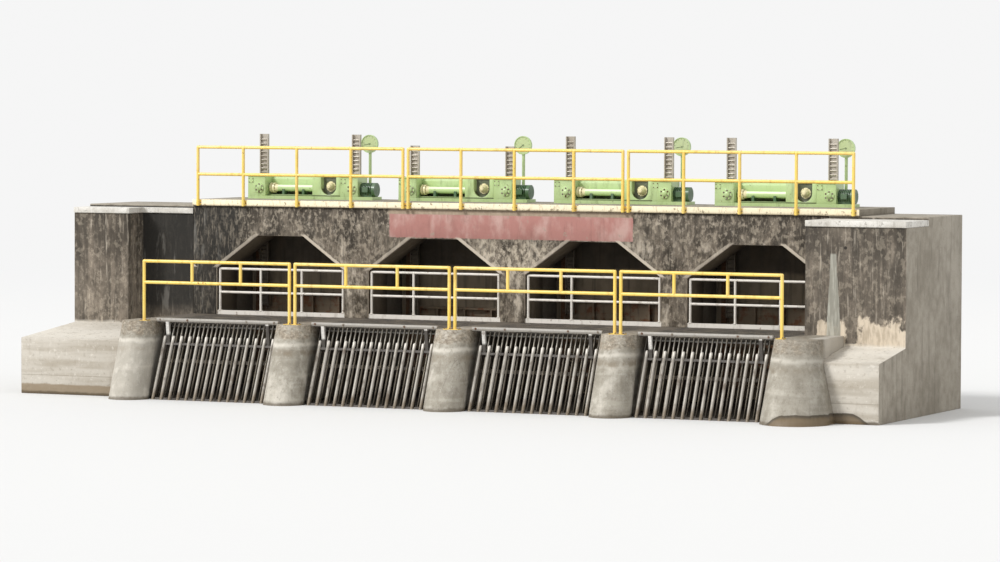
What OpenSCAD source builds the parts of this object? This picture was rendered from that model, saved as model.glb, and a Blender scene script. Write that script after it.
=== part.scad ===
// River intake sluice: four lifting gates behind trash racks, under a concrete hoist deck.
// X runs along the headwall, Y into the bank, Z up from the feet of the piers.
// The origin is under the middle pier, in the plane of the headwall's river face.

/* [Bays and piers] */
// Centre to centre of the gate bays
bay_pitch = 3250; // [3000:10:3600]
// Thickness of each pier between two bays
pier_thickness = 500; // [400:10:600]
// Thickness of the pier at the right end
end_pier_thickness = 740; // [600:10:900]
// How far the right side of the end pier's nose spreads from its top to its foot
end_pier_spread = 320; // [200:10:380]
// Height of the pier tops and of the walkway
walk_z = 1450; // [1300:10:1700]
// Radius of a pier's round nose at its top
nose_radius = 335; // [290:5:380]
// How much wider the radius of a nose is at its foot
nose_flare = 45; // [0:5:80]
// Distance from the headwall to the centre of a nose at its top
nose_reach = 2520; // [2300:10:2800]
// How far the foot of a nose stands out beyond its top
nose_batter = 440; // [200:10:600]
// Length of the full-width part of a pier behind its nose
shoulder_length = 520; // [400:10:700]

/* [Headwall and deck] */
// Thickness of the headwall
headwall_thickness = 850; // [700:10:1000]
// Height of the flat soffit over each bay
soffit_z = 2980; // [2800:10:3200]
// Width of the flat part of the soffit
soffit_width = 975; // [700:5:1400]
// Height where the haunches meet the piers
haunch_z = 2340; // [2100:10:2600]
// Height of the headwall's top, under the deck
headwall_top = 3540; // [3400:10:3700]
// Thickness of the deck slab at its painted edge
deck_edge = 120; // [90:5:180]
// Thickness of the deck slab over the gate wells
deck_thickness = 270; // [200:10:320]
// Overhang of the deck in front of the headwall
deck_overhang = 50; // [20:5:90]
// Distance that the deck runs past the bays at its right end
deck_run_out = 600; // [540:10:700]

/* [Gate wall] */
// Distance from the headwall's river face to the gate wall
gate_wall_y = 1500; // [1430:10:1600]
// Thickness of the gate wall
gate_wall_thickness = 400; // [300:10:500]
// Width of each conduit mouth in the gate wall
mouth_width = 2000; // [1700:10:2100]
// Height of each conduit mouth
mouth_height = 1200; // [1100:10:1300]
// Height of the sill under each conduit mouth
sill_z = 300; // [290:5:340]
// Thickness of the floor slab of each bay
floor_slab = 60; // [40:5:65]

/* [Banks] */
// Distance from the left end pier to the corner of the left bank wall
left_recess = 1100; // [800:10:1400]
// How far the left bank wall stands out from the headwall
left_bank_out = 600; // [400:10:900]
// How far the right bank wall stands out from the headwall
right_bank_out = 1200; // [1000:10:1300]
// Length of bank wall built at the left end
bank_length = 1200; // [1000:10:1800]
// Length of bank wall built from the right end pier's inner side
right_bank_length = 1900; // [1500:10:2400]
// Distance from the headwall to the front of the low walls under both banks
low_wall_out = 2600; // [2400:10:2800]
// Height of the front of the low walls
low_wall_z = 1060; // [950:10:1150]
// How far the top of a low wall rises to the bank behind it
low_wall_rise = 200; // [100:10:250]
// Height of the top of the copings
coping_z = 3490; // [3350:10:3530]
// Height of a coping
coping_height = 110; // [80:5:160]
// How far a coping stands out from its wall
coping_lip = 30; // [10:5:60]

/* [Racks and walkway] */
// How much further the foot of the racks stands out than their top
rack_batter = 620; // [500:10:700]
// Gap between the racks and the widest part of the noses
rack_side_gap = 25; // [15:5:60]
// Spacing of the guard bars
guard_bar_pitch = 175; // [150:5:200]
// Diameter of a guard bar
guard_bar_diameter = 60; // [40:1:70]
// Height of the tops of the guard bars
guard_top_z = 1150; // [1050:10:1250]
// Spacing of the flat bars of the trash racks
screen_bar_pitch = 90; // [70:1:120]
// Thickness of a flat bar
screen_bar_thickness = 10; // [6:1:14]
// Depth of a flat bar
screen_bar_depth = 60; // [40:1:80]
// Gap between the guard bars and the flat bars behind them
screen_gap = 40; // [20:1:80]
// Thickness of the walkway plates
plate_thickness = 40; // [20:1:50]
// Depth of the walkway's front beam
front_beam_height = 64; // [56:2:120]
// Width of the front beam
front_beam_width = 60; // [40:1:80]
// How far the front beam stands up past the plates
front_beam_lip = 50; // [20:5:70]
// Height of the joists under the plates
joist_height = 120; // [80:5:150]

/* [Railings] */
// Diameter of the yellow rail pipes
pipe_diameter = 60; // [42:1:70]
// Height of the walkway railing to the middle of its top pipe
walk_rail_height = 1115; // [1000:5:1200]
// Drop from its top pipe to its middle pipe
walk_rail_drop = 396; // [300:2:500]
// How far the walkway railing stands in front of the middles of the noses
walk_rail_out = 115; // [60:5:160]
// Distance between the two end posts that stand side by side
walk_post_pair = 116; // [100:2:160]
// How far the railing's outer posts stand in from the end piers' middles
walk_rail_inset = 140; // [100:5:180]
// Height of the deck railing above the deck to the middle of its top pipe
deck_rail_height = 1006; // [900:2:1200]
// Drop from its top pipe to its middle pipe
deck_rail_drop = 520; // [400:5:600]
// How much longer the deck railing is than the four bays
deck_rail_over = 360; // [200:10:400]
// Distance between neighbouring end posts of two deck panels
deck_post_pair = 110; // [90:2:140]
// Diameter of the grey rail pipes in the openings
grey_pipe = 48; // [34:1:60]
// Height of the grey railing above the walkway
grey_rail_height = 880; // [800:5:1000]
// Height of its middle pipe above the walkway
grey_mid_height = 430; // [350:5:500]
// Height of the beam that the grey railing stands on
kick_height = 80; // [60:2:120]

/* [Gates] */
// Overlap of a leaf on the wall at each side of its mouth
leaf_lap = 150; // [130:5:160]
// How much taller a leaf is than its mouth
leaf_over = 350; // [330:10:380]
// Depth of a gate leaf with its ribs
leaf_depth = 120; // [100:1:130]
// Running gap between a leaf and its guides
leaf_gap = 10; // [6:1:15]
// Height of the leaf bottom above the feet of the piers, as stored
leaf_bottom = 280; // [275:1:285]
// How much lower the second gate stands
second_gate_drop = 200; // [0:10:205]
// Distance of the middle of each lifting rack from the edge of its leaf
rack_inset = 150; // [145:1:160]
// Width of a lifting rack
rack_width = 180; // [160:2:190]
// Depth of a lifting rack
rack_depth = 60; // [50:1:70]
// Thickness of the two side flats of a rack
rack_flat = 20; // [12:1:25]
// Pitch of the round rungs of a rack
rung_pitch = 80; // [70:1:100]
// Diameter of a rung
rung_diameter = 30; // [24:1:36]
// Height of the rack's top above the bottom of its leaf
rack_top = 4635; // [4550:5:4700]
// Running gap round a rack in the deck and the hoist housings
rack_gap = 20; // [10:1:30]

/* [Hoists] */
// Height of the hoist housings above the deck
hoist_height = 460; // [400:5:520]
// Depth of the hoist housings, front to back
hoist_depth = 420; // [360:5:480]
// Height of the hoist bed
bed_height = 60; // [40:1:80]
// Thickness of the lids on the rack housings
lid_height = 30; // [20:1:40]
// How far a lid stands out in front of its housing
lid_lip = 15; // [8:1:20]
// Diameter of the bearing caps on the front of the housings
cap_diameter = 190; // [150:5:210]
// Diameter of the tube over the cross shaft
shaft_tube = 130; // [100:1:160]
// Diameter of the hoist motor over its fins
motor_diameter = 270; // [220:5:300]
// Length of the hoist motor
motor_length = 310; // [280:5:330]
// Number of cooling fins on a motor
fin_count = 7; // [5:1:8]
// Height of a cooling fin
fin_height = 22; // [14:1:26]
// Diameter of the gate position dial
dial_diameter = 350; // [300:5:400]
// Height of the middle of the dial above the deck
dial_height = 1075; // [1000:5:1150]

/* [Hidden] */
$fn = 48;

BAYS = [1, 2, 3, 4];
PIERS = [1, 2, 3, 4, 5];
SIDES = [-1, 1];

// Bays and piers
function bay_x(i) = (i - 2.5) * bay_pitch;
function pier_x(i) = (i - 3) * bay_pitch;
half_clear = (bay_pitch - pier_thickness) / 2;
left_face = pier_x(1) - pier_thickness / 2;
right_face = pier_x(5) - pier_thickness / 2;
end_pier_x = right_face + end_pier_thickness / 2;
nose_tilt = atan(nose_batter / walk_z);
shoulder_y = -(nose_reach - shoulder_length);
end_flare_more = 35;
end_nose_radius = nose_radius + (end_pier_thickness - pier_thickness) / 2 - end_flare_more;
end_nose_flare = nose_flare + end_flare_more;
end_nose_shift = (end_pier_spread - end_nose_flare) / 2;
nose_step = 8;

// Deck and walls
deck_z = headwall_top + deck_edge;
deck_under = deck_z - deck_thickness;
back_y = gate_wall_y + gate_wall_thickness;
left_end = left_face - left_recess - bank_length;
left_corner = left_face - left_recess;
right_end = right_face + right_bank_length;
end_pier_side = right_face + end_pier_thickness;
// The low wall keeps a little clear of the round side of the left end pier
left_nose_side = pier_x(1) - nose_radius - nose_flare - 10;

// Racks
lean = rack_batter / walk_z;
rack_tilt = atan(lean);
rack_half = bay_pitch / 2 - nose_radius - nose_flare - rack_side_gap;
guard_bar_count = 1 + floor((2 * rack_half - guard_bar_diameter) / guard_bar_pitch);
screen_bar_count = 1 + floor((2 * rack_half - screen_bar_thickness) / screen_bar_pitch);
guard_y_at_foot = -(nose_reach + nose_batter) + 25;
guard_r = guard_bar_diameter / 2;
screen_y_at_foot = guard_y_at_foot + guard_r + screen_gap;
rack_rail = 60;
guard_rail_height = 40;
guard_rail_drop = 110;
hanger_width = 60;
plate_front_y = -(nose_reach - 40);
nose_clear = 15;
foot_rail_set = 15;
floor_front_y = screen_y_at_foot + screen_bar_depth + rack_rail + lean * floor_slab;
guard_rail_top = guard_top_z - guard_rail_drop;
front_half = bay_pitch / 2 - nose_radius - nose_clear;
plate_notch_y = shoulder_y + nose_clear;
plate_under = walk_z - plate_thickness;
joist_width = 70;

// Railings
walk_rail_y = nose_reach + walk_rail_out;
deck_panel = (4 * bay_pitch + deck_rail_over - 2 * deck_post_pair) / 3;
pipe_r = pipe_diameter / 2;
foot_plate = 150;
foot_out = walk_post_pair / 2 - 4;
foot_in = 90;
foot_plate_height = 12;
clamp_gap = 14;
clamp_width = deck_post_pair - clamp_gap;
clamp_inset = 15;
clamp_thickness = 10;
grey_r = grey_pipe / 2;
grey_y = 60;
grey_end_gap = 30;
kick_width = 60;
deck_rail_y = -(deck_overhang + pipe_r);
deck_rail_mid = 70;
post_stray = 110;

// Gates and guides
leaf_width = mouth_width + 2 * leaf_lap;
leaf_height = mouth_height + leaf_over;
mouth_top = sill_z + mouth_height;
rack_offset = leaf_width / 2 - rack_inset;
seal_width = 70;
seal_gap = 0.3;
leaf_back_gap = 15;
leaf_back_y = gate_wall_y - leaf_back_gap;
leaf_front_y = leaf_back_y - leaf_depth;
leaf_skin = 25;
guide_web = 50;
guide_flange = 30;
guide_cover = 40;
pad_depth = 65;
pad_height = 260;
rack_back_y = leaf_front_y - pad_depth;
rack_y = rack_back_y - rack_depth / 2;
rack_foot = leaf_height - pad_height;
rack_web = 12;
rack_slot_x = rack_width / 2 + rack_gap;
rack_slot_y = rack_depth / 2 + rack_gap;
function gate_z(i) = leaf_bottom - (i == 2 ? second_gate_drop : 0);

// Hoists
bed_top = deck_z + bed_height;
hoist_top = deck_z + hoist_height;
hoist_front = rack_y - hoist_depth / 2;
housing_left = 250;
housing_right = 130;
shaft_z = bed_top + 150;
tray_depth = 240;
tray_height = 26;
hood_gap = 5;
hood_depth = 120;
hood_low = shaft_z + 20;
hood_slope = 45;
hood_plate = 20;
bed_past_rack = 190;
cap_height = 22;
motor_z = bed_top + motor_diameter / 2;
motor_foot = 240;
motor_foot_width = 180;
cowl_length = 70;
fin_thickness = 10;
drive_left = 150;
drive_right = rack_offset - housing_left;
recess_half = 165;
recess_x = (drive_left + drive_right) / 2 + 50;
recess_depth = 120;
cone_base = 72;
cone_tip = 26;
dial_sink = 12;
dial_rim = 14;
dial_set_back = 120;
dial_case_depth = 60;
dial_case_forward = 20;
dial_post_radius = 30;
dial_foot_radius = 90;
dial_foot_height = 20;

// A box given by its two corners
module block(low, high) {
    translate(low) cube(high - low);
}

// A profile in Y and Z, drawn along X from x0 to x1
module along_x(x0, x1) {
    translate([x0, 0, 0]) rotate([90, 0, 90]) linear_extrude(x1 - x0) children();
}

// A profile in X and Z, drawn along Y from y0 to y1
module along_y(y0, y1) {
    translate([0, y1, 0]) rotate([90, 0, 0]) linear_extrude(y1 - y0) children();
}

// A straight pipe from a to b along X, at y and z
module pipe_x(x0, x1, y, z, r) {
    translate([x0, y, z]) rotate([0, 90, 0]) cylinder(h = x1 - x0, r = r);
}

// A straight pipe from z0 to z1, at x and y
module pipe_z(x, y, z0, z1, r) {
    translate([x, y, z0]) cylinder(h = z1 - z0, r = r);
}

// The round battered nose of a pier, between its foot and its top
// With a shift its right side spreads further at the foot, by twice that shift
module nose(x, r, flare, shift) {
    over = 300;
    grow = (flare + shift) / walk_z;
    foot_r = r + flare + shift;
    intersection() {
        translate([x + shift, -(nose_reach + nose_batter), 0])
            rotate([-nose_tilt, -atan(shift / walk_z), 0])
                translate([0, 0, -over])
                    cylinder(h = walk_z + 2 * over, r1 = foot_r + grow * over, r2 = r - grow * over, $fn = 120);
        block([x - 2 * r, -2 * nose_reach, 0], [x + 2 * r, 0, walk_z]);
    }
}

module pier(x0, x1, r, flare, shift, back, upper_back) {
    middle = (x0 + x1) / 2;
    color("darkgray") union() {
        nose(middle, r, flare, shift);
        along_x(middle - r + nose_step, middle + r - nose_step) polygon([
            [-(nose_reach + nose_batter), 0],
            [shoulder_y, 0],
            [shoulder_y, walk_z],
            [-nose_reach, walk_z]
        ]);
        along_x(x0, x1) polygon([
            [-(nose_reach + nose_batter), 0],
            [back, 0],
            [back, upper_back ? deck_under : walk_z],
            [upper_back ? headwall_thickness : back, upper_back ? deck_under : walk_z],
            [upper_back ? headwall_thickness : back, walk_z],
            [-nose_reach, walk_z]
        ]);
    }
}

module inner_pier(i) {
    half = pier_thickness / 2;
    pier(pier_x(i) - half, pier_x(i) + half, nose_radius, nose_flare, 0, gate_wall_y, true);
}

// The battered right side of the end pier, from the middle of its nose to the low wall
module end_flank() {
    top_side = end_pier_x + end_nose_radius - nose_step;
    intersection() {
        along_x(end_pier_x, end_pier_side + end_pier_thickness) polygon([
            [-(nose_reach + nose_batter), 0],
            [-low_wall_out, 0],
            [-low_wall_out, walk_z * (nose_reach + nose_batter - low_wall_out) / nose_batter]
        ]);
        along_y(-(nose_reach + nose_batter), 0) polygon([
            [end_pier_x, 0],
            [top_side + end_pier_spread, 0],
            [top_side, walk_z],
            [end_pier_x, walk_z]
        ]);
    }
}

module end_pier() {
    color("darkgray") difference() {
        union() {
            pier(right_face, end_pier_side, end_nose_radius, end_nose_flare, end_nose_shift,
                -right_bank_out, false);
            end_flank();
        }
        along_x(end_pier_side, end_pier_side + end_pier_thickness) bank_profile(right_bank_out);
    }
}

// Profile of a bank that stands out by a distance, with the low wall in front of it
module bank_profile(out) {
    polygon([
        [-low_wall_out, 0],
        [0, 0],
        [0, coping_z - coping_height],
        [-out, coping_z - coping_height],
        [-out, low_wall_z + low_wall_rise],
        [-low_wall_out, low_wall_z]
    ]);
}

// Profile of the low wall in the recess beside the left end pier
module recess_profile() {
    polygon([
        [-low_wall_out, 0],
        [0, 0],
        [0, low_wall_z + low_wall_rise],
        [-left_bank_out, low_wall_z + low_wall_rise],
        [-low_wall_out, low_wall_z]
    ]);
}

module left_bank_wall() {
    color("dimgray") union() {
        along_x(left_end, left_corner) bank_profile(left_bank_out);
        along_x(left_corner, left_nose_side) recess_profile();
        intersection() {
            along_x(left_nose_side, left_face) recess_profile();
            block([left_nose_side, shoulder_y, 0], [left_face, 0, walk_z]);
        }
        block([left_end, 0, 0], [left_face, back_y, headwall_top]);
    }
}

module right_bank_wall() {
    color("dimgray") union() {
        along_x(end_pier_side, right_end) bank_profile(right_bank_out);
        block([right_face, -right_bank_out, 0], [end_pier_side, 0, coping_z - coping_height]);
        block([right_face, 0, 0], [right_end, back_y, headwall_top]);
    }
}

module bank_copings() {
    low = coping_z - coping_height;
    color("lightgray") {
        block([left_end, -(left_bank_out + coping_lip), low], [left_corner + coping_lip, 0, coping_z]);
        block([left_corner + coping_lip, -coping_lip, low], [left_face, 0, coping_z]);
        block([right_face, -(right_bank_out + coping_lip), low], [right_end, 0, coping_z]);
    }
}

// Outline of one haunched opening, from the pier tops up to the soffit
module opening_outline() {
    polygon([
        [-half_clear, walk_z - 1],
        [half_clear, walk_z - 1],
        [half_clear, haunch_z],
        [soffit_width / 2, soffit_z],
        [-soffit_width / 2, soffit_z],
        [-half_clear, haunch_z]
    ]);
}

module headwall() {
    color("gray") along_y(0, headwall_thickness) difference() {
        translate([left_face, walk_z]) square([right_face - left_face, headwall_top - walk_z]);
        for (i = BAYS) translate([bay_x(i), 0]) opening_outline();
    }
}

module gate_wall() {
    color("gray") block([left_face, gate_wall_y, mouth_top], [right_face, back_y, deck_under]);
}

// The sill that runs under all four conduit mouths
module mouth_sill() {
    color("gray") block([left_face, gate_wall_y, 0], [right_face, back_y, sill_z]);
}

// The blocks of wall beside and between the conduit mouths
module mouth_piers() {
    mouth_half = mouth_width / 2;
    color("gray") for (k = [0 : 4]) block(
        [k == 0 ? left_face : bay_x(k) + mouth_half, gate_wall_y, sill_z],
        [k == 4 ? right_face : bay_x(k + 1) - mouth_half, back_y, mouth_top]);
}

// The floor slabs of the bays, from behind the racks to the gate wall
module floor_slabs() {
    color("gray") for (i = BAYS) translate([bay_x(i), 0, 0]) linear_extrude(floor_slab) polygon([
        [-half_clear, gate_wall_y],
        [half_clear, gate_wall_y],
        [half_clear, plate_notch_y],
        [front_half, plate_notch_y],
        [front_half, floor_front_y],
        [-front_half, floor_front_y],
        [-front_half, plate_notch_y],
        [-half_clear, plate_notch_y]
    ]);
}

module deck_slab() {
    color("wheat") difference() {
        along_x(left_face, right_face + deck_run_out) polygon([
            [-deck_overhang, headwall_top],
            [back_y, headwall_top],
            [back_y, deck_z],
            [-deck_overhang, deck_z]
        ]);
        rack_slots(headwall_top, deck_z);
    }
    color("wheat") difference() {
        block([left_face, headwall_thickness, deck_under], [right_face, back_y, headwall_top]);
        rack_slots(deck_under, headwall_top);
    }
}

// Cuts for the lifting racks through a slab or a bed
module rack_slots(z0, z1) {
    for (i = BAYS) for (s = SIDES) translate([bay_x(i) + s * rack_offset, rack_y, 0])
        block([-rack_slot_x, -rack_slot_y, z0 - 1], [rack_slot_x, rack_slot_y, z1 + 1]);
}

module walkway_plates() {
    color("dimgray") for (i = BAYS) translate([bay_x(i), 0, plate_under]) linear_extrude(plate_thickness)
        polygon([
            [-half_clear, 0],
            [half_clear, 0],
            [half_clear, plate_notch_y],
            [front_half, plate_notch_y],
            [front_half, plate_front_y],
            [-front_half, plate_front_y],
            [-front_half, plate_notch_y],
            [-half_clear, plate_notch_y]
        ]);
}

module walkway_beams() {
    beam_top = walk_z + front_beam_lip;
    beam_low = beam_top - front_beam_height;
    rail_y = guard_y_at_foot + lean * guard_rail_top;
    color("silver") for (i = BAYS) translate([bay_x(i), 0, 0]) {
        union() {
            block([-front_half, plate_front_y - front_beam_width, beam_low], [front_half, plate_front_y, beam_top]);
            for (s = SIDES) translate([s * (guard_bar_count / 2 - 1) * guard_bar_pitch, 0, 0])
                along_x(-hanger_width / 2, hanger_width / 2) polygon([
                    [plate_front_y - front_beam_width, beam_low + 1],
                    [plate_front_y, beam_low + 1],
                    [plate_front_y, plate_under],
                    [rail_y + rack_rail, guard_rail_top],
                    [rail_y, guard_rail_top]
                ]);
        }
        for (y = [-joist_width, -nose_reach / 3 - joist_width, -2 * nose_reach / 3 - joist_width])
            block([-half_clear, y, plate_under - joist_height], [half_clear, y + joist_width, plate_under]);
    }
}

// One leaning flat bar profile between two heights, from its front line at the foot
module leaning_profile(y_at_foot, depth, z0, z1) {
    polygon([
        [y_at_foot + lean * z0, z0],
        [y_at_foot + lean * z0 + depth, z0],
        [y_at_foot + lean * z1 + depth, z1],
        [y_at_foot + lean * z1, z1]
    ]);
}

module trash_rack(i) {
    width = (screen_bar_count - 1) * screen_bar_pitch + screen_bar_thickness;
    back = screen_y_at_foot + screen_bar_depth;
    color("slategray") translate([bay_x(i), 0, 0]) union() {
        for (k = [0 : screen_bar_count - 1]) {
            x = (k - (screen_bar_count - 1) / 2) * screen_bar_pitch;
            along_x(x - screen_bar_thickness / 2, x + screen_bar_thickness / 2)
                leaning_profile(screen_y_at_foot, screen_bar_depth, 0, plate_under);
        }
        for (z = [0, plate_under / 2 - rack_rail / 2, plate_under - rack_rail])
            along_x(-width / 2, width / 2) leaning_profile(back - foot_rail_set, rack_rail, z, z + rack_rail);
    }
}

module guard_bars(i) {
    width = (guard_bar_count - 1) * guard_bar_pitch + guard_bar_diameter;
    over = 100;
    color("lightslategray") translate([bay_x(i), 0, 0]) union() {
        intersection() {
            for (k = [0 : guard_bar_count - 1])
                translate([(k - (guard_bar_count - 1) / 2) * guard_bar_pitch, guard_y_at_foot, 0])
                    rotate([-rack_tilt, 0, 0]) translate([0, 0, -over])
                        cylinder(h = guard_top_z + 3 * over, r = guard_r);
            block([-width, guard_y_at_foot - 2 * over, 0], [width, 0, guard_top_z]);
        }
        for (z = [0, guard_rail_top - guard_rail_height])
            along_x(-width / 2, width / 2)
                leaning_profile(guard_y_at_foot, rack_rail, z, z + guard_rail_height);
    }
}

// A yellow railing panel between two end posts at x0 and x1
module walkway_rail(i) {
    x0 = pier_x(i) + (i == 1 ? walk_rail_inset : walk_post_pair / 2);
    x1 = pier_x(i + 1) - (i == 4 ? walk_rail_inset : walk_post_pair / 2);
    top = walk_z + walk_rail_height;
    mid = top - walk_rail_drop;
    foot_top = walk_z + foot_plate_height;
    color("gold") translate([0, -walk_rail_y, 0]) union() {
        for (x = [x0, x1]) {
            pipe_z(x, 0, walk_z, top, pipe_r);
            translate([x, 0, top]) sphere(r = pipe_r);
        }
        block([x0 - foot_out, -foot_plate / 2, walk_z], [x0 + foot_in, foot_plate / 2, foot_top]);
        block([x1 - foot_in, -foot_plate / 2, walk_z], [x1 + foot_out, foot_plate / 2, foot_top]);
        pipe_x(x0, x1, 0, top, pipe_r);
        pipe_x(x0, x1, 0, mid, pipe_r);
        for (k = [1, 2]) pipe_z(x0 + k * (x1 - x0) / 3, 0, mid, top, pipe_r);
    }
}

// A grey railing in one opening of the headwall
module opening_rail(i) {
    reach = half_clear - grey_r - grey_end_gap;
    top = walk_z + grey_rail_height;
    color("lightgray") translate([bay_x(i), grey_y, 0]) union() {
        block([-half_clear, -kick_width / 2, walk_z], [half_clear, kick_width / 2, walk_z + kick_height]);
        for (k = [-1.5, -0.5, 0.5, 1.5]) pipe_z(k * reach / 1.5, 0, walk_z + kick_height - 5, top, grey_r);
        for (s = SIDES) translate([s * reach, 0, top]) sphere(r = grey_r);
        pipe_x(-reach, reach, 0, top, grey_r);
        pipe_x(-reach, reach, 0, walk_z + grey_mid_height, grey_r);
    }
}

// How far a deck railing post stands from its even place: the real ones aren't evenly spaced
function post_shift(i, k) =
    i == 1 && k == 1 ? -post_stray : i == 1 && k == 2 ? -post_stray / 2 : i == 2 && k == 3 ? post_stray : 0;

// A yellow railing panel on the face of the deck
module deck_rail(i) {
    centre = deck_rail_mid + (i - 2) * (deck_panel + deck_post_pair);
    x0 = centre - deck_panel / 2;
    x1 = centre + deck_panel / 2;
    top = deck_z + deck_rail_height;
    color("gold") translate([0, deck_rail_y, 0]) union() {
        for (k = [0 : 4]) {
            x = x0 + k * deck_panel / 4 + post_shift(i, k);
            pipe_z(x, 0, headwall_top, top, pipe_r);
            block([x - clamp_width / 2, pipe_r - clamp_thickness, headwall_top + clamp_inset],
                [x + clamp_width / 2, pipe_r, deck_z - clamp_inset]);
        }
        for (x = [x0, x1]) translate([x, 0, top]) sphere(r = pipe_r);
        pipe_x(x0, x1, 0, top, pipe_r);
        pipe_x(x0, x1, 0, top - deck_rail_drop, pipe_r);
    }
}

// The steel guides on the gate wall, one each side of every leaf
module gate_guides() {
    inner = leaf_width / 2 + leaf_gap;
    front = leaf_front_y - leaf_gap;
    color("saddlebrown") for (i = BAYS) for (s = SIDES) translate([bay_x(i), 0, 0])
        translate([0, 0, floor_slab]) linear_extrude(deck_under - floor_slab) polygon([
            [s * inner, gate_wall_y],
            [s * (inner + guide_web), gate_wall_y],
            [s * (inner + guide_web), front - guide_flange],
            [s * (inner - guide_cover - leaf_gap), front - guide_flange],
            [s * (inner - guide_cover - leaf_gap), front],
            [s * inner, front]
        ]);
}

// A ribbed gate leaf with its side seals and the two pads that its racks are bolted to
module gate_leaf(i) {
    half = leaf_width / 2;
    rib = 40;
    color("sienna") translate([bay_x(i), 0, gate_z(i)]) union() {
        block([-half, leaf_back_y - leaf_skin, 0], [half, leaf_back_y, leaf_height]);
        for (k = [0 : 4]) {
            z = k * (leaf_height - rib) / 4;
            block([-half, leaf_front_y, z], [half, leaf_back_y - leaf_skin + 1, z + rib]);
        }
        for (k = [0 : 4]) {
            x = -half + k * (leaf_width - rib) / 4;
            block([x, leaf_front_y, 0], [x + rib, leaf_back_y - leaf_skin + 1, leaf_height]);
        }
        for (s = SIDES) translate([s * rack_offset, 0, 0])
            block([-rack_width / 2, rack_back_y, rack_foot], [rack_width / 2, leaf_front_y + 1, leaf_height]);
        for (s = SIDES) translate([s * (half - seal_width / 2), 0, 0])
            block([-seal_width / 2, leaf_back_y - 1, 0], [seal_width / 2, gate_wall_y - seal_gap, leaf_height]);
    }
}

// The two lifting racks of a gate: side flats with round rungs between them
module lifting_racks(i) {
    rungs = floor((rack_top - rack_foot) / rung_pitch);
    half = rack_width / 2;
    color("rosybrown") for (s = SIDES) translate([bay_x(i) + s * rack_offset, rack_y, gate_z(i)]) union() {
        for (t = SIDES) translate([t * (half - rack_flat / 2), 0, 0])
            block([-rack_flat / 2, -rack_depth / 2, rack_foot], [rack_flat / 2, rack_depth / 2, rack_top]);
        for (k = [0 : rungs - 1])
            pipe_x(-half + rack_flat / 2, half - rack_flat / 2, 0, rack_foot + (k + 0.5) * rung_pitch,
                rung_diameter / 2);
        block([-half, rack_depth / 2 - rack_web, rack_foot], [half, rack_depth / 2, rack_top]);
    }
}

module hoist_beds() {
    reach = rack_offset + housing_left;
    color("darkgreen") for (i = BAYS) difference() {
        translate([bay_x(i), 0, 0])
            block([-reach, hoist_front, deck_z], [reach + bed_past_rack, hoist_front + hoist_depth, bed_top]);
        rack_slots(deck_z, bed_top);
    }
}

module rack_housings() {
    color("darkseagreen") for (i = BAYS) difference() {
        for (s = SIDES) translate([bay_x(i) + s * rack_offset, 0, 0]) union() {
            block([-housing_left, hoist_front, bed_top], [housing_right, hoist_front + hoist_depth, hoist_top]);
            block([-housing_left, hoist_front - lid_lip, hoist_top - lid_height],
                [housing_right, hoist_front + hoist_depth + lid_lip, hoist_top]);
            translate([0, hoist_front + 1, shaft_z]) rotate([90, 0, 0]) cylinder(h = cap_height, d = cap_diameter);
        }
        rack_slots(bed_top, hoist_top);
    }
}

module hoist_drives() {
    tube_start = -rack_offset + housing_right;
    hood_front = rack_y + shaft_tube / 2 + hood_gap;
    color("darkseagreen") for (i = BAYS) translate([bay_x(i), 0, 0]) union() {
        difference() {
            block([drive_left, hoist_front, bed_top], [drive_right, hoist_front + hoist_depth, hoist_top]);
            translate([recess_x, 0, 0]) along_y(hoist_front - 1, hoist_front + recess_depth) union() {
                translate([0, bed_top + 30 + recess_half]) circle(r = recess_half);
                translate([-recess_half, bed_top + 30 + recess_half])
                    square([2 * recess_half, hoist_height]);
            }
        }
        translate([recess_x, hoist_front + recess_depth + 1, shaft_z + 40]) rotate([90, 0, 0])
            cylinder(h = recess_depth, r1 = cone_base, r2 = cone_tip);
        pipe_x(tube_start, drive_left + 1, rack_y, shaft_z, shaft_tube / 2);
        block([tube_start, rack_y - tray_depth / 2, bed_top],
            [drive_left + 1, rack_y + tray_depth / 2, bed_top + tray_height]);
        block([tube_start, hood_front + hood_depth - hood_plate, bed_top],
            [drive_left + 1, hood_front + hood_depth, hood_low + 1]);
        along_x(tube_start, drive_left + 1) polygon([
            [hood_front, hood_low],
            [hood_front + hood_depth, hood_low],
            [hood_front + hood_depth, hoist_top - lid_height],
            [hood_front + hood_slope, hoist_top - lid_height],
            [hood_front, hoist_top - lid_height - hood_slope]
        ]);
    }
}

module hoist_motors() {
    start = rack_offset + housing_right;
    fin_pitch = (motor_length - cowl_length) / fin_count;
    color("darkgreen") for (i = BAYS) translate([bay_x(i), 0, 0]) union() {
        pipe_x(start, start + motor_length, rack_y, motor_z, motor_diameter / 2 - fin_height);
        pipe_x(start + motor_length - cowl_length, start + motor_length, rack_y, motor_z, motor_diameter / 2);
        for (k = [0 : fin_count - 1])
            pipe_x(start + k * fin_pitch, start + k * fin_pitch + fin_thickness, rack_y, motor_z, motor_diameter / 2);
        block([start, rack_y - motor_foot_width / 2, bed_top], [start + motor_foot, rack_y + motor_foot_width / 2, motor_z - 70]);
    }
}

module position_dials() {
    x = rack_offset + housing_right;
    y = hoist_front + hoist_depth + dial_set_back;
    color("yellowgreen") for (i = BAYS) translate([bay_x(i) + x, y, deck_z]) union() {
        cylinder(h = dial_height, r = dial_post_radius);
        translate([0, -dial_case_forward, dial_height]) rotate([90, 0, 0]) difference() {
            cylinder(h = dial_case_depth, d = dial_diameter, center = true);
            translate([0, 0, dial_case_depth / 2 - dial_sink])
                cylinder(h = dial_case_depth, d = dial_diameter - 2 * dial_rim);
        }
        cylinder(h = dial_foot_height, r = dial_foot_radius);
    }
}

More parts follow.
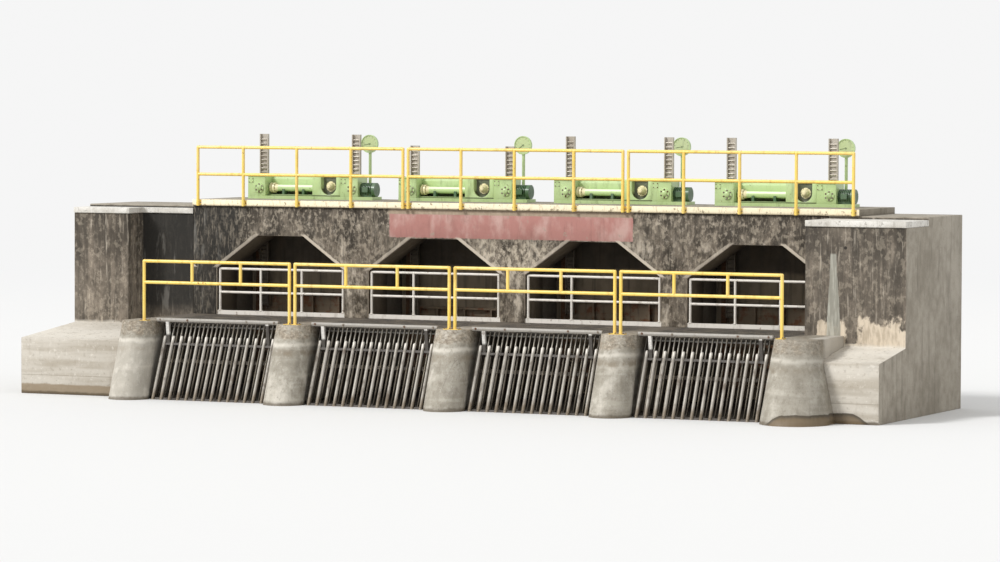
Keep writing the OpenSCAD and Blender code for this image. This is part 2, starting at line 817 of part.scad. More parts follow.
inner_pier(1);  // pier_1
inner_pier(2);  // pier_2
inner_pier(3);  // pier_3
inner_pier(4);  // pier_4
end_pier();  // pier_5
left_bank_wall();
right_bank_wall();
bank_copings();
headwall();
gate_wall();
mouth_sill();
mouth_piers();
floor_slabs();
deck_slab();
walkway_plates();
walkway_beams();
trash_rack(1);  // trash_rack_1
trash_rack(2);  // trash_rack_2
trash_rack(3);  // trash_rack_3
trash_rack(4);  // trash_rack_4
guard_bars(1);  // guard_bars_1
guard_bars(2);  // guard_bars_2
guard_bars(3);  // guard_bars_3
guard_bars(4);  // guard_bars_4
walkway_rail(1);  // walkway_rail_1
walkway_rail(2);  // walkway_rail_2
walkway_rail(3);  // walkway_rail_3
walkway_rail(4);  // walkway_rail_4
opening_rail(1);  // opening_rail_1
opening_rail(2);  // opening_rail_2
opening_rail(3);  // opening_rail_3
opening_rail(4);  // opening_rail_4
deck_rail(1);  // deck_rail_1
deck_rail(2);  // deck_rail_2
deck_rail(3);  // deck_rail_3
gate_guides();
gate_leaf(1);  // gate_leaf_1
gate_leaf(2);  // gate_leaf_2
gate_leaf(3);  // gate_leaf_3
gate_leaf(4);  // gate_leaf_4
lifting_racks(1);  // lifting_racks_1
lifting_racks(2);  // lifting_racks_2
lifting_racks(3);  // lifting_racks_3
lifting_racks(4);  // lifting_racks_4
hoist_beds();
rack_housings();
hoist_drives();
hoist_motors();
position_dials();
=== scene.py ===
import math
from itertools import product

import bmesh
import bpy
from mathutils import Matrix, Vector


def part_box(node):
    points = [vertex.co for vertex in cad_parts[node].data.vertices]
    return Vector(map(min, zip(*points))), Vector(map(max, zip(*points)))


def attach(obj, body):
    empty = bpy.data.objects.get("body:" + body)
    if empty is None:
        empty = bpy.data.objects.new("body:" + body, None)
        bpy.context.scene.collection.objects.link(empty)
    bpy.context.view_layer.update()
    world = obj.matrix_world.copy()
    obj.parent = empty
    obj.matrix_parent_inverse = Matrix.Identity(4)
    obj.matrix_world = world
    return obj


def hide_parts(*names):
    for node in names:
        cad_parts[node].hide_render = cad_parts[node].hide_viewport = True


bl_info = {
    "name": "River Sluice Dressing",
    "version": (1, 0, 0),
    "blender": (4, 5, 0),
    "location": "3D View > Sidebar > Sluice",
    "description": "Weathered concrete, enamel, rust and fittings for a river intake sluice",
    "category": "Object",
}

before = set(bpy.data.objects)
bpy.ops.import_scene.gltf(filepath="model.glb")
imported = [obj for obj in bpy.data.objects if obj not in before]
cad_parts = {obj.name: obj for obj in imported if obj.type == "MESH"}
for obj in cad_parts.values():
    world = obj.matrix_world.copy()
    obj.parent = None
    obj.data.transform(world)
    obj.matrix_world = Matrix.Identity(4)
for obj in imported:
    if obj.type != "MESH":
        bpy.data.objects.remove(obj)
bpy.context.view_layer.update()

STRUCTURE = "structure"
BAY_NUMBERS = (1, 2, 3, 4)
TUBE = 0.03
WALK_RAIL_HEIGHTS = (0.012, 0.719, 1.115)
OPENING_RAIL_HEIGHTS = (0.43, 0.88)
OPENING_POSTS = (-1.321, -0.4403, 0.4403, 1.321)
DECK_RAIL_DROP = 0.52
DECK_RAIL_PANELS = 4
SEAL_REACH, SEAL_BOLT_REACH = 1.132, 1.045
POST_HALF_CLAMP = 0.048
POST_STRAYS = {(1, 1): -0.11, (1, 2): -0.055, (2, 3): 0.11}
SIDES = (-1, 1)
LEFT, RIGHT = Vector((-1, 0, 0)), Vector((1, 0, 0))
RIVERWARD, BANKWARD = Vector((0, -1, 0)), Vector((0, 1, 0))
UP = Vector((0, 0, 1))


def middle(node):
    """The middle of a CAD node's box."""
    low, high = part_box(node)
    return (low + high) / 2


def paint(red, green, blue):
    """A colour given as it looks on a screen, 0 to 255, made linear for the shaders."""
    shares = [c / 255 for c in (red, green, blue)]
    return tuple(c / 12.92 if c <= 0.04045 else ((c + 0.055) / 1.055) ** 2.4 for c in shares)


BAY_X = [middle(f"gate_leaf_{i}").x for i in BAY_NUMBERS]
BAYS = list(zip(BAY_NUMBERS, BAY_X))
WALK_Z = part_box("walkway_plates")[1].z
DECK_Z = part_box("deck_slab")[1].z
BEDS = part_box("hoist_beds")
HOIST_FRONT, HOIST_BACK, BED_TOP = BEDS[0].y, BEDS[1].y, BEDS[1].z
RACK_Y = middle("lifting_racks_1").y
SHAFT_Z = BED_TOP + 0.15
DRIVE_TOP = DECK_Z + 0.4595
RACK_REACH = 1
GUARD_BARS, GUARD_PITCH, GUARD_FOOT_Y = 14, 0.175, -2.935
RACK_LEAN = 0.62 / 1.45
BAY_PITCH = BAY_X[1] - BAY_X[0]
LEFT_END, RIGHT_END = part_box("left_bank_wall")[0].x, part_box("right_bank_wall")[1].x
BANKS_MIDDLE, BANKS_HALF = (LEFT_END + RIGHT_END) / 2, (RIGHT_END - LEFT_END) / 2
HAUNCH_FOOT_X, HAUNCH_FOOT_Z = 1.375, 2.34
HAUNCH_TOP_X, HAUNCH_TOP_Z = 0.4875, 2.98
HAUNCH_RUN = (HAUNCH_FOOT_X - HAUNCH_TOP_X) / (HAUNCH_TOP_Z - HAUNCH_FOOT_Z)
BAND_LEFT, BAND_RIGHT, BAND_FOOT, BAND_TOP = -2.55, 2.43, 3, 3.44
REAR_START, REAR_Y = 1.86, 1.895
PLATE_LENGTH, PLATE_SHIFT = 0.9166, 13
WHITE = (0.92, 0.92, 0.92, 1)


def tint(name, description, red, green, blue):
    """A colour setting whose default is given as it looks on a screen."""
    return bpy.props.FloatVectorProperty(
        name=name, description=description, subtype="COLOR", size=3, min=0, max=1,
        default=paint(red, green, blue),
    )


def length(name, description, default, low, high):
    """A length setting in metres."""
    return bpy.props.FloatProperty(
        name=name, description=description, default=default, min=low, max=high,
        subtype="DISTANCE", unit="LENGTH",
    )


class SluiceColours(bpy.types.PropertyGroup):
    """Colours of the sluice's concrete, paint and metal."""

    pier: tint("Pier", "Pale cement of the pier noses", 180, 174, 161)
    pier_dull: tint("Pier, dull", "Duller patches on the pier noses", 150, 144, 131)
    headwall: tint("Headwall", "Bare cement of the headwall", 142, 131, 116)
    headwall_dark: tint("Headwall, dark", "Old black growth on the headwall", 50, 44, 36)
    lichen: tint("Lichen", "Pale blotches on the headwall", 214, 202, 184)
    bank: tint("Bank wall", "Weathered upper part of the bank walls", 148, 136, 121)
    bank_foot: tint("Bank wall foot", "Pale lower part of the bank walls", 204, 198, 187)
    coping: tint("Coping", "Cement of the copings", 242, 239, 232)
    deck_edge: tint("Deck edge", "Cream paint on the edge of the deck", 248, 236, 204)
    deck_top: tint("Deck top", "Worn cement on top of the deck", 176, 168, 152)
    well: tint("Gate well", "Damp concrete round the gates", 84, 76, 66)
    sign_band: tint("Band", "Faded red paint of the band on the headwall", 173, 123, 115)
    yellow: tint("Yellow", "Enamel of the yellow railings", 243, 208, 100)
    grey_rail: tint("Grey rail", "Paint of the railings in the openings", 222, 216, 206)
    pale_green: tint("Pale green", "Enamel of the hoist housings", 182, 206, 143)
    dark_green: tint("Dark green", "Enamel of the beds and motors", 62, 96, 58)
    cream: tint("Cream", "Paint of the couplings and hand wheels", 232, 222, 176)
    dial_face: tint("Dial face", "Enamel of the dials", 188, 202, 150)
    rust: tint("Rust", "Rust on steel", 112, 68, 38)
    old_steel: tint("Old steel", "Weathered steel of the guard bars", 160, 154, 145)
    gate: tint("Gate", "Brown paint and silt on the gates", 128, 112, 92)


class SluiceSizes(bpy.types.PropertyGroup):
    """Sizes of the small fittings."""

    concrete_edge: length("Concrete edge", "Width of the worn edges of the concrete", 0.012, 0.002, 0.03)
    casting_edge: length("Casting edge", "Width of the edges of the hoist castings", 0.014, 0.002, 0.025)
    bolt: length("Bolt", "Width of a bolt head across its flats", 0.03, 0.01, 0.05)
    weld: length("Weld", "Thickness of a weld bead", 0.006, 0.002, 0.012)
    dial_tick: length("Dial tick", "Length of a long mark on a dial", 0.03, 0.01, 0.05)


def arithmetic(operation, swapped=False):
    """A method of Amount that makes one node of arithmetic."""

    def method(self, other=0):
        pair = (other, self) if swapped else (self, other)
        return self.finish.add("ShaderNodeMath", {"operation": operation}, pair)

    return method


class Amount:
    """A number or a colour that varies over a surface: one output of a finish's nodes."""

    def __init__(self, finish, output):
        self.finish = finish
        self.output = output

    __add__ = __radd__ = arithmetic("ADD")
    __sub__ = arithmetic("SUBTRACT")
    __rsub__ = arithmetic("SUBTRACT", swapped=True)
    __mul__ = __rmul__ = arithmetic("MULTIPLY")
    __truediv__ = arithmetic("DIVIDE")
    __or__ = __ror__ = arithmetic("MAXIMUM")
    __mod__ = arithmetic("FLOORED_MODULO")
    __abs__ = arithmetic("ABSOLUTE")

    def ramp(self, low, high):
        """A smooth climb from 0 to 1 as this goes from low to high, or a fall where low is above high."""
        values = {"Value": self, "From Min": low, "From Max": high}
        return self.finish.add("ShaderNodeMapRange", {"interpolation_type": "SMOOTHSTEP"}, values)

    def band(self, low, high, soft):
        """1 between two values, and 0 outside, with soft ends."""
        return self.ramp(low - soft, low + soft) * self.ramp(high + soft, high - soft)

    def lay(self, share, *over):
        """Lays a share of another colour over this one: an amount, a setting, or as it looks on a screen."""
        over = over[0] if len(over) == 1 else paint(*over)
        self.output = self.finish.blend(share, self, over).output


class Finish:
    """One finish of the sluice: a material, its colour so far, and the shader that its nodes feed."""

    def __init__(self, name):
        self.colour = None
        self.material = bpy.data.materials.new(name)
        self.material.use_nodes = True
        self.tree = self.material.node_tree
        self.shader = self.tree.nodes["Principled BSDF"]
        place = self.tree.nodes.new("ShaderNodeTexCoord")
        self.place = Amount(self, place.outputs["Object"])
        apart = self.tree.nodes.new("ShaderNodeSeparateXYZ")
        self.feed(apart.inputs[0], self.place)
        self.x, self.y, self.z = (Amount(self, out) for out in apart.outputs)

    def feed(self, socket, value):
        """Links an amount to a socket, or writes a plain value on it."""
        if isinstance(value, Amount):
            self.tree.links.new(value.output, socket)
        elif socket.type == "RGBA":
            socket.default_value = (*value[:3], 1)
        else:
            socket.default_value = value

    def add(self, kind, settings=None, values=(), output=0):
        """A node of a kind, with its settings made first and then its sockets filled."""
        node = self.tree.nodes.new(kind)
        for key, value in (settings or {}).items():
            setattr(node, key, value)
        for key, value in values.items() if isinstance(values, dict) else enumerate(values):
            self.feed(node.inputs[key], value)
        return Amount(self, node.outputs[output])

    def scaled(self, x, y, z, shift=0):
        """The place on the object, stretched and moved, to draw a pattern with."""
        values = (self.place, (x, y, z), (shift, shift * 0.7, shift * 1.3))
        return self.add("ShaderNodeVectorMath", {"operation": "MULTIPLY_ADD"}, values)

    def clouds(self, scale, detail=4, roughness=0.55, stretch=None, shift=0):
        """Soft clouds from 0 to 1, with so many to a metre."""
        place = self.scaled(*stretch, shift) if stretch else self.place
        values = {"Vector": place, "Scale": scale, "Detail": detail, "Roughness": roughness}
        return self.add("ShaderNodeTexNoise", None, values)

    def cells(self, place, scale, feature="F1"):
        """Distance from the nearest of scattered points, with so many to a metre."""
        return self.add("ShaderNodeTexVoronoi", {"feature": feature}, {"Vector": place, "Scale": scale})

    def runs(self, spacing, drop, low, high, shift=0):
        """Marks that water has drawn straight down, so far apart and so long."""
        return self.clouds(1, 4, 0.62, (1 / spacing, 1 / spacing, 1 / drop), shift).ramp(low, high)

    def ragged(self, amount, scale=2.5):
        """The height over the feet, made uneven, for the edges of stains."""
        return self.z + (self.clouds(scale) - 0.5) * (2 * amount)

    @property
    def along_bay(self):
        """How far along its bay a place is."""
        return (self.x + 2 * BAY_PITCH) % BAY_PITCH

    @property
    def from_bay_middle(self):
        """How far along the headwall a place is from the middle of its bay."""
        return self.along_bay - BAY_PITCH / 2

    @property
    def behind_racks(self):
        """How far back a place is, counted at the foot of the leaning racks."""
        return self.y - self.z * RACK_LEAN

    def blend(self, share, under, over):
        """One colour over another by a share."""
        return self.add("ShaderNodeMix", {"data_type": "RGBA"}, {0: share, 6: under, 7: over}, 2)

    def lay(self, share, *over):
        """Lays a share of another colour over what the finish has so far."""
        self.colour.lay(share, *over)

    def done(self, roughness, height=None, relief=0.004, metallic=0, coat=0):
        """Feeds the shader and gives the material."""
        values = {"Base Color": self.colour, "Roughness": roughness, "Metallic": metallic,
                  "Coat Weight": coat, "Coat Roughness": 0.2}
        if height:
            bump = {"Strength": 1, "Distance": relief, "Height": height}
            values["Normal"] = self.add("ShaderNodeBump", None, bump)
        for name, value in values.items():
            self.feed(self.shader.inputs[name], value)
        return self.material


def mix_shaders(tree, share, first, second, target):
    """Mixes two shaders by a share on their way to a socket."""
    mix = tree.nodes.new("ShaderNodeMixShader")
    for end, socket in zip((share, first, second), mix.inputs):
        tree.links.new(end, socket)
    tree.links.new(mix.outputs[0], target)


def cast_cement(f, pale, dull):
    """The body of every concrete face: clouds of cement, sand grain, air holes and hair cracks."""
    broad = f.clouds(0.8, 5)
    mottle = f.clouds(5, 6, 0.6)
    sand = f.clouds(70, 2)
    holes = f.cells(f.place, 17).ramp(0.16, 0.08) * f.clouds(2, 2).ramp(0.45, 0.6)
    crack = f.cells(f.scaled(1, 1, 0.7, 3), 0.9, "DISTANCE_TO_EDGE").ramp(0.003, 0.001)
    crack = crack * f.clouds(0.9, 2).ramp(0.56, 0.64)
    colour = f.blend((broad * 0.55 + mottle * 0.45).ramp(0.36, 0.64), dull, pale)
    colour.lay((sand - 0.5) * 0.5 + 0.16, 92, 84, 72)
    colour.lay(holes * 0.5 | crack * 0.5, 56, 50, 42)
    height = mottle * 0.8 + sand * 0.22 - holes * 0.9 - crack * 0.8
    return colour, height


def peppered(f, strength):
    """Old wall skin: small dark pits and pale crumbs side by side."""
    skin = f.clouds(13, 3, 0.6, (1, 1, 0.7), 41)
    broad = f.clouds(5, 3, 0.6, (1, 1, 0.7), 47)
    f.lay((skin + broad * 0.5).ramp(0.72, 0.6) * strength, 40, 35, 29)
    f.lay((skin - broad * 0.4).ramp(0.32, 0.44) * strength, 206, 193, 172)


def pier_finish(look):
    """Pale water-washed cement, brown at the top with a salt line under it, and wet at the foot."""
    f = Finish("pier_cement")
    f.colour, height = cast_cement(f, look.pier, look.pier_dull)
    lifts = f.clouds(1, 3, stretch=(0.5, 0.5, 7)).ramp(0.5, 0.72)
    f.lay(lifts * 0.4, 206, 200, 187)
    f.lay(f.runs(0.07, 0.9, 0.52, 0.74) * 0.38, 118, 109, 94)
    broad = f.clouds(2.6, 5, 0.62, (1, 1, 0.8), 33)
    f.lay(broad.ramp(0.5, 0.68) * 0.5, 126, 118, 104)
    f.lay(broad.ramp(0.5, 0.34) * 0.5, 216, 210, 198)
    level = f.ragged(0.07, 3)
    blotch = f.clouds(6, 5, 0.62).ramp(0.4, 0.62)
    f.lay(level.ramp(1.17, 1.25) * (blotch * 0.5 + 0.15), 138, 124, 105)
    top, cap = level.ramp(1.16, 1.24), f.clouds(14, 5, 0.7, (1, 1, 1.6), 52)
    f.lay(top * cap.ramp(0.5, 0.64) * 0.6, 98, 84, 68)
    f.lay(top * cap.ramp(0.48, 0.36) * 0.5, 206, 192, 172)
    f.lay(level.band(1.06, 1.13, 0.03) * 0.6, 220, 214, 202)
    f.lay(level.band(0.9, 1, 0.04) * (blotch * 0.6 + 0.2), 132, 121, 104)
    crumbs = f.clouds(12, 4, 0.66, (1, 1, 0.8), 15)
    f.lay(crumbs.ramp(0.55, 0.68) * 0.24, 216, 211, 199)
    f.lay(crumbs.ramp(0.43, 0.33) * 0.4, 120, 112, 98)
    f.lay(f.x.ramp(-5, -6.2) * f.z.ramp(1.2, 1) * 0.3, 220, 214, 203)
    # darker towards the right, most on the end pier's nose: painted shade
    f.lay(f.x.ramp(2.2, 3.2) * 0.12 | f.x.ramp(6, 7) * 0.42, 126, 120, 108)
    f.lay(f.ragged(0.04, 6).ramp(0.085, 0.03) * 0.75, 88, 77, 61)
    silt_at_end_pier(f)
    # the pier flanks deep in the wells, darkened towards the back with the well colour as painted shade
    inside = f.y.ramp(-2.2, -1.1) * f.x.ramp(6.5, 6.3)
    f.lay(inside * 0.82, look.well)
    beside_bank = f.x.ramp(6.72, 6.8) * f.y.ramp(-2.45, -2.2)
    f.lay(beside_bank * 0.8, look.bank_foot)
    wet = f.z.ramp(0.12, 0.02)
    return f.done(0.88 - wet * 0.4, height, 0.006)


def silt_at_end_pier(f):
    """The low brown bank of silt that has stuck to the right end pier and to the wall beside it."""
    level = f.ragged(0.035, 3) - f.x.band(6.5, 7.85, 0.22) * 0.2
    silt = f.blend(level.ramp(-0.02, -0.1), paint(62, 52, 38), paint(110, 93, 68))
    stuck = level.ramp(0, -0.02) * f.x.ramp(6.3, 6.5) * f.y.ramp(-2.2, -2.4)
    f.lay(stuck * 0.88, silt)


def black_growth(f):
    """Black algae with grey streaks where water has run."""
    drawn = f.runs(0.17, 0.8, 0.56, 0.7, 4)
    return f.blend(drawn * 0.8, paint(33, 31, 27), paint(104, 101, 95))


def headwall_finish(look):
    """Black and brown growth with pale lichen, darkest at the left end, and a faded red band."""
    f = Finish("headwall_cement")
    f.colour, height = cast_cement(f, look.headwall, paint(104, 94, 82))
    growth = f.clouds(2.3, 7, 0.68, (1, 1, 0.62), 5)
    edge_run = f.runs(0.1, 1.1, 0.44, 0.62, 2)
    high = f.z.ramp(2.5, 3.5)
    dark = (growth + high * 0.1).ramp(0.47, 0.61)
    f.lay((dark | edge_run * high * 0.9) * 0.86, look.headwall_dark)
    low_zone = f.z.ramp(3.25, 2.75)
    specks = f.clouds(5.4, 7, 0.68, (1, 1, 0.7), 9).ramp(0.55, 0.68)
    washed = f.clouds(2.6, 6, 0.7, (1.2, 1.2, 0.5), 13).ramp(0.52, 0.66) * low_zone
    f.lay(specks * 0.5 | washed * 0.75, look.lichen)
    scurf = f.clouds(10, 6, 0.72, (1, 1, 0.7), 23)
    f.lay(scurf.ramp(0.55, 0.66) * 0.4, 184, 171, 152)
    f.lay(scurf.ramp(0.45, 0.35) * 0.4, 46, 41, 34)
    under_band = f.x.band(-0.75, 0.75, 0.25) * f.z.band(2.2, 2.98, 0.2)
    f.lay(under_band * (scurf + specks * 0.1).ramp(0.47, 0.58) * 0.75, 206, 194, 174)
    strips = f.z.ramp(2.45, 2.15) * growth.ramp(0.46, 0.56)
    f.lay(strips * 0.75, 70, 61, 48)
    algae = (f.x + (growth - 0.5) * 1.4).ramp(-5.3, -5.9)
    f.lay(algae * 0.94, black_growth(f))
    fine = f.runs(0.035, 0.22, 0.5, 0.68, 31)
    f.lay(fine * 0.35, 172, 160, 142)
    f.lay(f.runs(0.04, 0.3, 0.52, 0.68, 37) * 0.4, 48, 42, 35)
    peppered(f, f.x.ramp(-6.1, -5.5) * 0.22 + 0.08)
    # a painted shadow of the deck edge along the top of the headwall
    deck_shadow = f.z.ramp(3.5, 3.53) * f.y.ramp(0.02, 0)
    f.lay(deck_shadow * 0.5, 60, 50, 40)
    over_band = f.x.band(BAND_LEFT, BAND_RIGHT, 0.05) * f.z.ramp(BAND_TOP - 0.01, BAND_TOP)
    f.lay(over_band * 0.7, 178, 158, 136)
    # the painted band
    rough = (f.clouds(12, 5, 0.65) - 0.5) * 0.06
    rise = f.z + rough * f.z.ramp(3.2, 3)
    red = (f.x + rough).band(BAND_LEFT, BAND_RIGHT, 0.008) * rise.band(BAND_FOOT, BAND_TOP, 0.006)
    red = red * f.y.ramp(0.004, 0)
    flaked = f.clouds(7, 7, 0.7, (1, 1, 0.7), 21).ramp(0.61, 0.67)
    chalk = f.clouds(3.2, 5, stretch=(1, 1, 0.5), shift=17).ramp(0.44, 0.66)
    band_colour = f.blend(chalk * 0.5, look.sign_band, paint(206, 182, 172))
    grimy = f.clouds(1.5, 6, 0.68, (1, 1, 0.8), 29).ramp(0.46, 0.66)
    band_colour.lay(grimy * 0.55, 152, 106, 97)
    band_colour.lay(f.runs(0.06, 0.5, 0.52, 0.72, 7) * 0.3, 120, 88, 78)
    band_colour.lay(flaked * 0.75, 160, 148, 134)
    f.lay(red, band_colour)
    # the openings' own sides: darker than the face, darker still deeper in as painted shade, with a pale worn
    # arris that is partly a painted highlight
    inside = f.y.ramp(0.03, 0.1)
    f.lay(inside * 0.82, 116, 104, 87)
    deep = f.y.ramp(0.5, 0.84)
    f.lay(deep * 0.7, 58, 50, 40)
    past_haunch = (abs(f.from_bay_middle) - HAUNCH_FOOT_X + (f.z - HAUNCH_FOOT_Z) * HAUNCH_RUN) * 0.585
    edge = (past_haunch + (f.clouds(9, 4) - 0.5) * 0.04).band(0, 0.06, 0.008)
    edge = edge * f.z.band(HAUNCH_FOOT_Z + 0.02, HAUNCH_TOP_Z + 0.03, 0.02) * f.y.ramp(0.03, 0.02)
    # brighter on the right haunch of each bay: a painted highlight over the worn edge
    f.lay(edge * (f.from_bay_middle.ramp(-0.1, 0.1) * 0.35 + 0.5), look.lichen)
    arris = f.y.band(0.005, 0.035, 0.004) * f.z.ramp(3.06, 2.99) * f.clouds(3).ramp(0.3, 0.45)
    f.lay(arris * 0.75, look.lichen)
    return f.done(0.9, height, 0.007)


def bank_finish(look):
    """Streaked brown-grey over a pale foot, with black growth in the recess and a wet line."""
    f = Finish("bank_cement")
    f.colour, height = cast_cement(f, look.bank, paint(104, 94, 82))
    high = f.z.ramp(2, 3.5)
    right = f.x.ramp(5, 6)
    blotch = f.clouds(2.4, 7, 0.7, (1, 1, 0.5), 2)
    f.lay((blotch + high * 0.14).ramp(0.48, 0.66) * 0.62, 60, 53, 44)
    scurf = f.clouds(9, 6, 0.72, (1, 1, 0.6), 23)
    f.lay(scurf.ramp(0.54, 0.66) * 0.34, 196, 182, 162)
    f.lay(scurf.ramp(0.45, 0.36) * 0.4, 52, 46, 38)
    f.lay(f.runs(0.18, 2.6, 0.44, 0.6, 1) * (high * 0.45 + 0.4), 56, 50, 42)
    f.lay(f.runs(0.06, 1.2, 0.5, 0.66, 11) * 0.5, 62, 56, 47)
    f.lay(f.runs(0.05, 0.7, 0.58, 0.7, 9.4) * 0.5, 200, 189, 172)
    f.lay(right * 0.24, 62, 58, 52)
    peppered(f, 0.17)
    patch = f.clouds(2.2, 6, 0.66, (1, 1, 0.7), 6)
    between = (f.x.band(7.03, 7.22, 0.06) | f.x.ramp(6.52, 6.42)) * f.z.ramp(1.28, 1.34) * 0.25
    patchy = (patch + f.z.ramp(2.05, 1.5) * 0.28 - between).ramp(0.64, 0.72) * right
    stained = f.runs(0.07, 0.3, 0.42, 0.66, 19) * 0.6
    f.lay(patchy * 0.82, f.blend(stained, paint(218, 203, 181), paint(160, 145, 124)))
    # a tapered patch of newer mortar on the right wall
    from_middle = abs(f.x - 6.8 + (f.z - 1.3) * 0.01 + (f.clouds(6, 3) - 0.5) * 0.03)
    lean = from_middle + f.z.ramp(1.3, 2.95) * 0.076
    mortar = lean.ramp(0.142, 0.126) * f.z.band(1.2, 2.9, 0.02) * right
    stained = f.runs(0.09, 0.9, 0.42, 0.62, 14)
    f.lay(mortar * 0.88, f.blend(stained, paint(176, 174, 162), paint(140, 138, 127)))
    level = f.ragged(0.06, 3)
    foot = level.ramp(1.34, 1.24) | f.z.ramp(1.275, 1.262)
    lifts = f.clouds(1, 4, stretch=(0.4, 0.4, 5)).ramp(0.4, 0.66)
    foot_colour = f.blend(lifts * 0.75, look.bank_foot, paint(166, 157, 142))
    foot_colour.lay(f.x.ramp(-5, -7) * 0.16, 150, 138, 120)
    # paler from 1.09 m up the foot: painted light of its sloped top
    foot_colour.lay(f.z.ramp(1.05, 1.09) * 0.45, 226, 220, 208)
    crumbs = f.clouds(11, 4, 0.66, (1, 1, 1), 51)
    foot_colour.lay(crumbs.ramp(0.56, 0.68) * 0.45, 226, 221, 211)
    foot_colour.lay(crumbs.ramp(0.42, 0.32) * 0.4, 136, 126, 110)
    pits = f.clouds(16, 3, 0.6).ramp(0.64, 0.7) * f.z.ramp(1, 1.1)
    foot_colour.lay(pits * 0.7, 96, 84, 66)
    foot_colour.lay(f.runs(0.2, 0.5, 0.56, 0.74, 3) * 0.4, 136, 124, 106)
    f.lay(foot * 0.92, foot_colour)
    recess = f.y.band(-0.02, 0.03, 0.01) * f.x.ramp(-6.3, -6.6) * f.z.ramp(1.2, 1.7)
    f.lay(recess * 0.94, black_growth(f))
    tide = (f.z + (f.clouds(3) - 0.5) * 0.04).band(0.5, 0.66, 0.03)
    f.lay(tide * f.clouds(2, 5, stretch=(0.4, 1, 1)).ramp(0.42, 0.6) * 0.5, 158, 148, 132)
    line = (f.z + (f.clouds(1.5) - 0.5) * 0.02).band(0.352, 0.366, 0.006)
    f.lay(line * 0.5, 128, 118, 102)
    silt = f.ragged(0.03, 4).ramp(0.21, 0.17) * f.x.ramp(-6, -6.6)
    f.lay(silt * 0.8, 134, 116, 90)
    f.lay(f.ragged(0.03, 5).ramp(0.07, 0.03) * 0.8, 80, 68, 50)
    silt_at_end_pier(f)
    # a dark disc painted where the shade of a small hole would be, with no hole cut
    from_hole = f.add("ShaderNodeVectorMath", {"operation": "DISTANCE"}, (f.place, (7.01, -1.2, 3.01)), 1)
    f.lay(from_hole.ramp(0.035, 0.025) * 0.9, 24, 20, 16)
    # the dry top, the plain rear and the cut ends
    dry = f.z.ramp(3.5, 3.53) | f.y.ramp(REAR_START, REAR_Y)
    dry = dry | abs(f.x - BANKS_MIDDLE).ramp(BANKS_HALF - 0.012, BANKS_HALF - 0.004)
    f.lay(dry, dry_cement(f))
    return f.done(0.9, height, 0.007)


def dry_cement(f):
    """Plain grey cement that no water reaches, with a few drawn stains."""
    colour, _ = cast_cement(f, paint(176, 168, 154), paint(146, 138, 124))
    colour.lay(f.runs(0.14, 1.2, 0.52, 0.7, 5) * 0.4, 98, 90, 78)
    return colour


def coping_finish(look):
    """Pale cement caps, grey on top with dark specks and short drips."""
    f = Finish("coping_cement")
    f.colour, height = cast_cement(f, look.coping, paint(200, 195, 185))
    f.lay(f.clouds(11, 4).ramp(0.58, 0.7) * 0.55, 96, 90, 80)
    f.lay(f.runs(0.06, 0.2, 0.5, 0.7) * 0.3, 120, 112, 100)
    return f.done(0.85, height, 0.005)


def well_finish(look):
    """Dark damp concrete of the gate wells, with silt lines."""
    f = Finish("well_cement")
    f.colour, height = cast_cement(f, look.well, paint(56, 50, 42))
    silt = f.clouds(1, 4, stretch=(0.4, 0.4, 6)).ramp(0.48, 0.7)
    f.lay(silt * 0.4, 112, 100, 82)
    f.lay(f.runs(0.1, 1.4, 0.5, 0.7) * 0.6, 34, 30, 25)
    f.lay(f.ragged(0.08).ramp(0.5, 0.2) * 0.6, 40, 35, 28)
    return f.done(0.72, height, 0.006)


def well_back_finish(look):
    """The gate wall: in the wells a pale band below 2.4 m of painted sunlight under a dark top of painted
    shade; dry and grey on its far face.
    """
    f = Finish("gate_wall_cement")
    f.colour, height = cast_cement(f, look.well, paint(56, 50, 42))
    # painted sunlight: a pale band below 2.4 m, with the dark above it as painted shade
    silt = f.ragged(0.04, 2).ramp(2.46, 2.36)
    f.lay(silt * 0.85, 150, 136, 116)
    f.lay(f.clouds(3, 5, stretch=(1, 1, 0.4)).ramp(0.45, 0.65) * 0.4, 92, 80, 64)
    f.lay(f.runs(0.1, 1.4, 0.5, 0.7) * 0.5, 44, 38, 31)
    f.lay(f.y.ramp(REAR_START, REAR_Y), dry_cement(f))
    return f.done(0.85, height, 0.006)


def deck_finish(look):
    """A cream painted edge with drips, and worn grey cement on top with oil round the hoists."""
    f = Finish("deck_cement")
    top, height = cast_cement(f, look.deck_top, paint(140, 132, 118))
    oil = f.clouds(3, 5, 0.6).ramp(0.46, 0.66) * f.y.band(0.95, 1.6, 0.12)
    top.lay(oil * 0.6, 84, 76, 62)
    edge = f.y.ramp(-0.034, -0.046)
    edge_colour = f.blend(f.clouds(6, 6, 0.66).ramp(0.52, 0.7) * 0.4, look.deck_edge, paint(214, 196, 158))
    edge_colour.lay(f.runs(0.05, 0.18, 0.52, 0.72, 1) * 0.5, 150, 128, 94)
    edge_colour.lay(f.z.ramp(3.575, 3.545) * 0.55, 124, 106, 78)
    flake = (f.clouds(12, 5, 0.7, (1, 1, 1), 3) + f.z.ramp(3.6, 3.55) * 0.06).ramp(0.6, 0.66)
    edge_colour.lay(flake * 0.75, 134, 118, 92)
    f.colour = f.blend(edge, top, edge_colour)
    # the deck's underside in the dark well colour: painted shade
    under = f.z.ramp(3.545, 3.53)
    f.lay(under * 0.85, look.well)
    return f.done(0.8, height, 0.004)


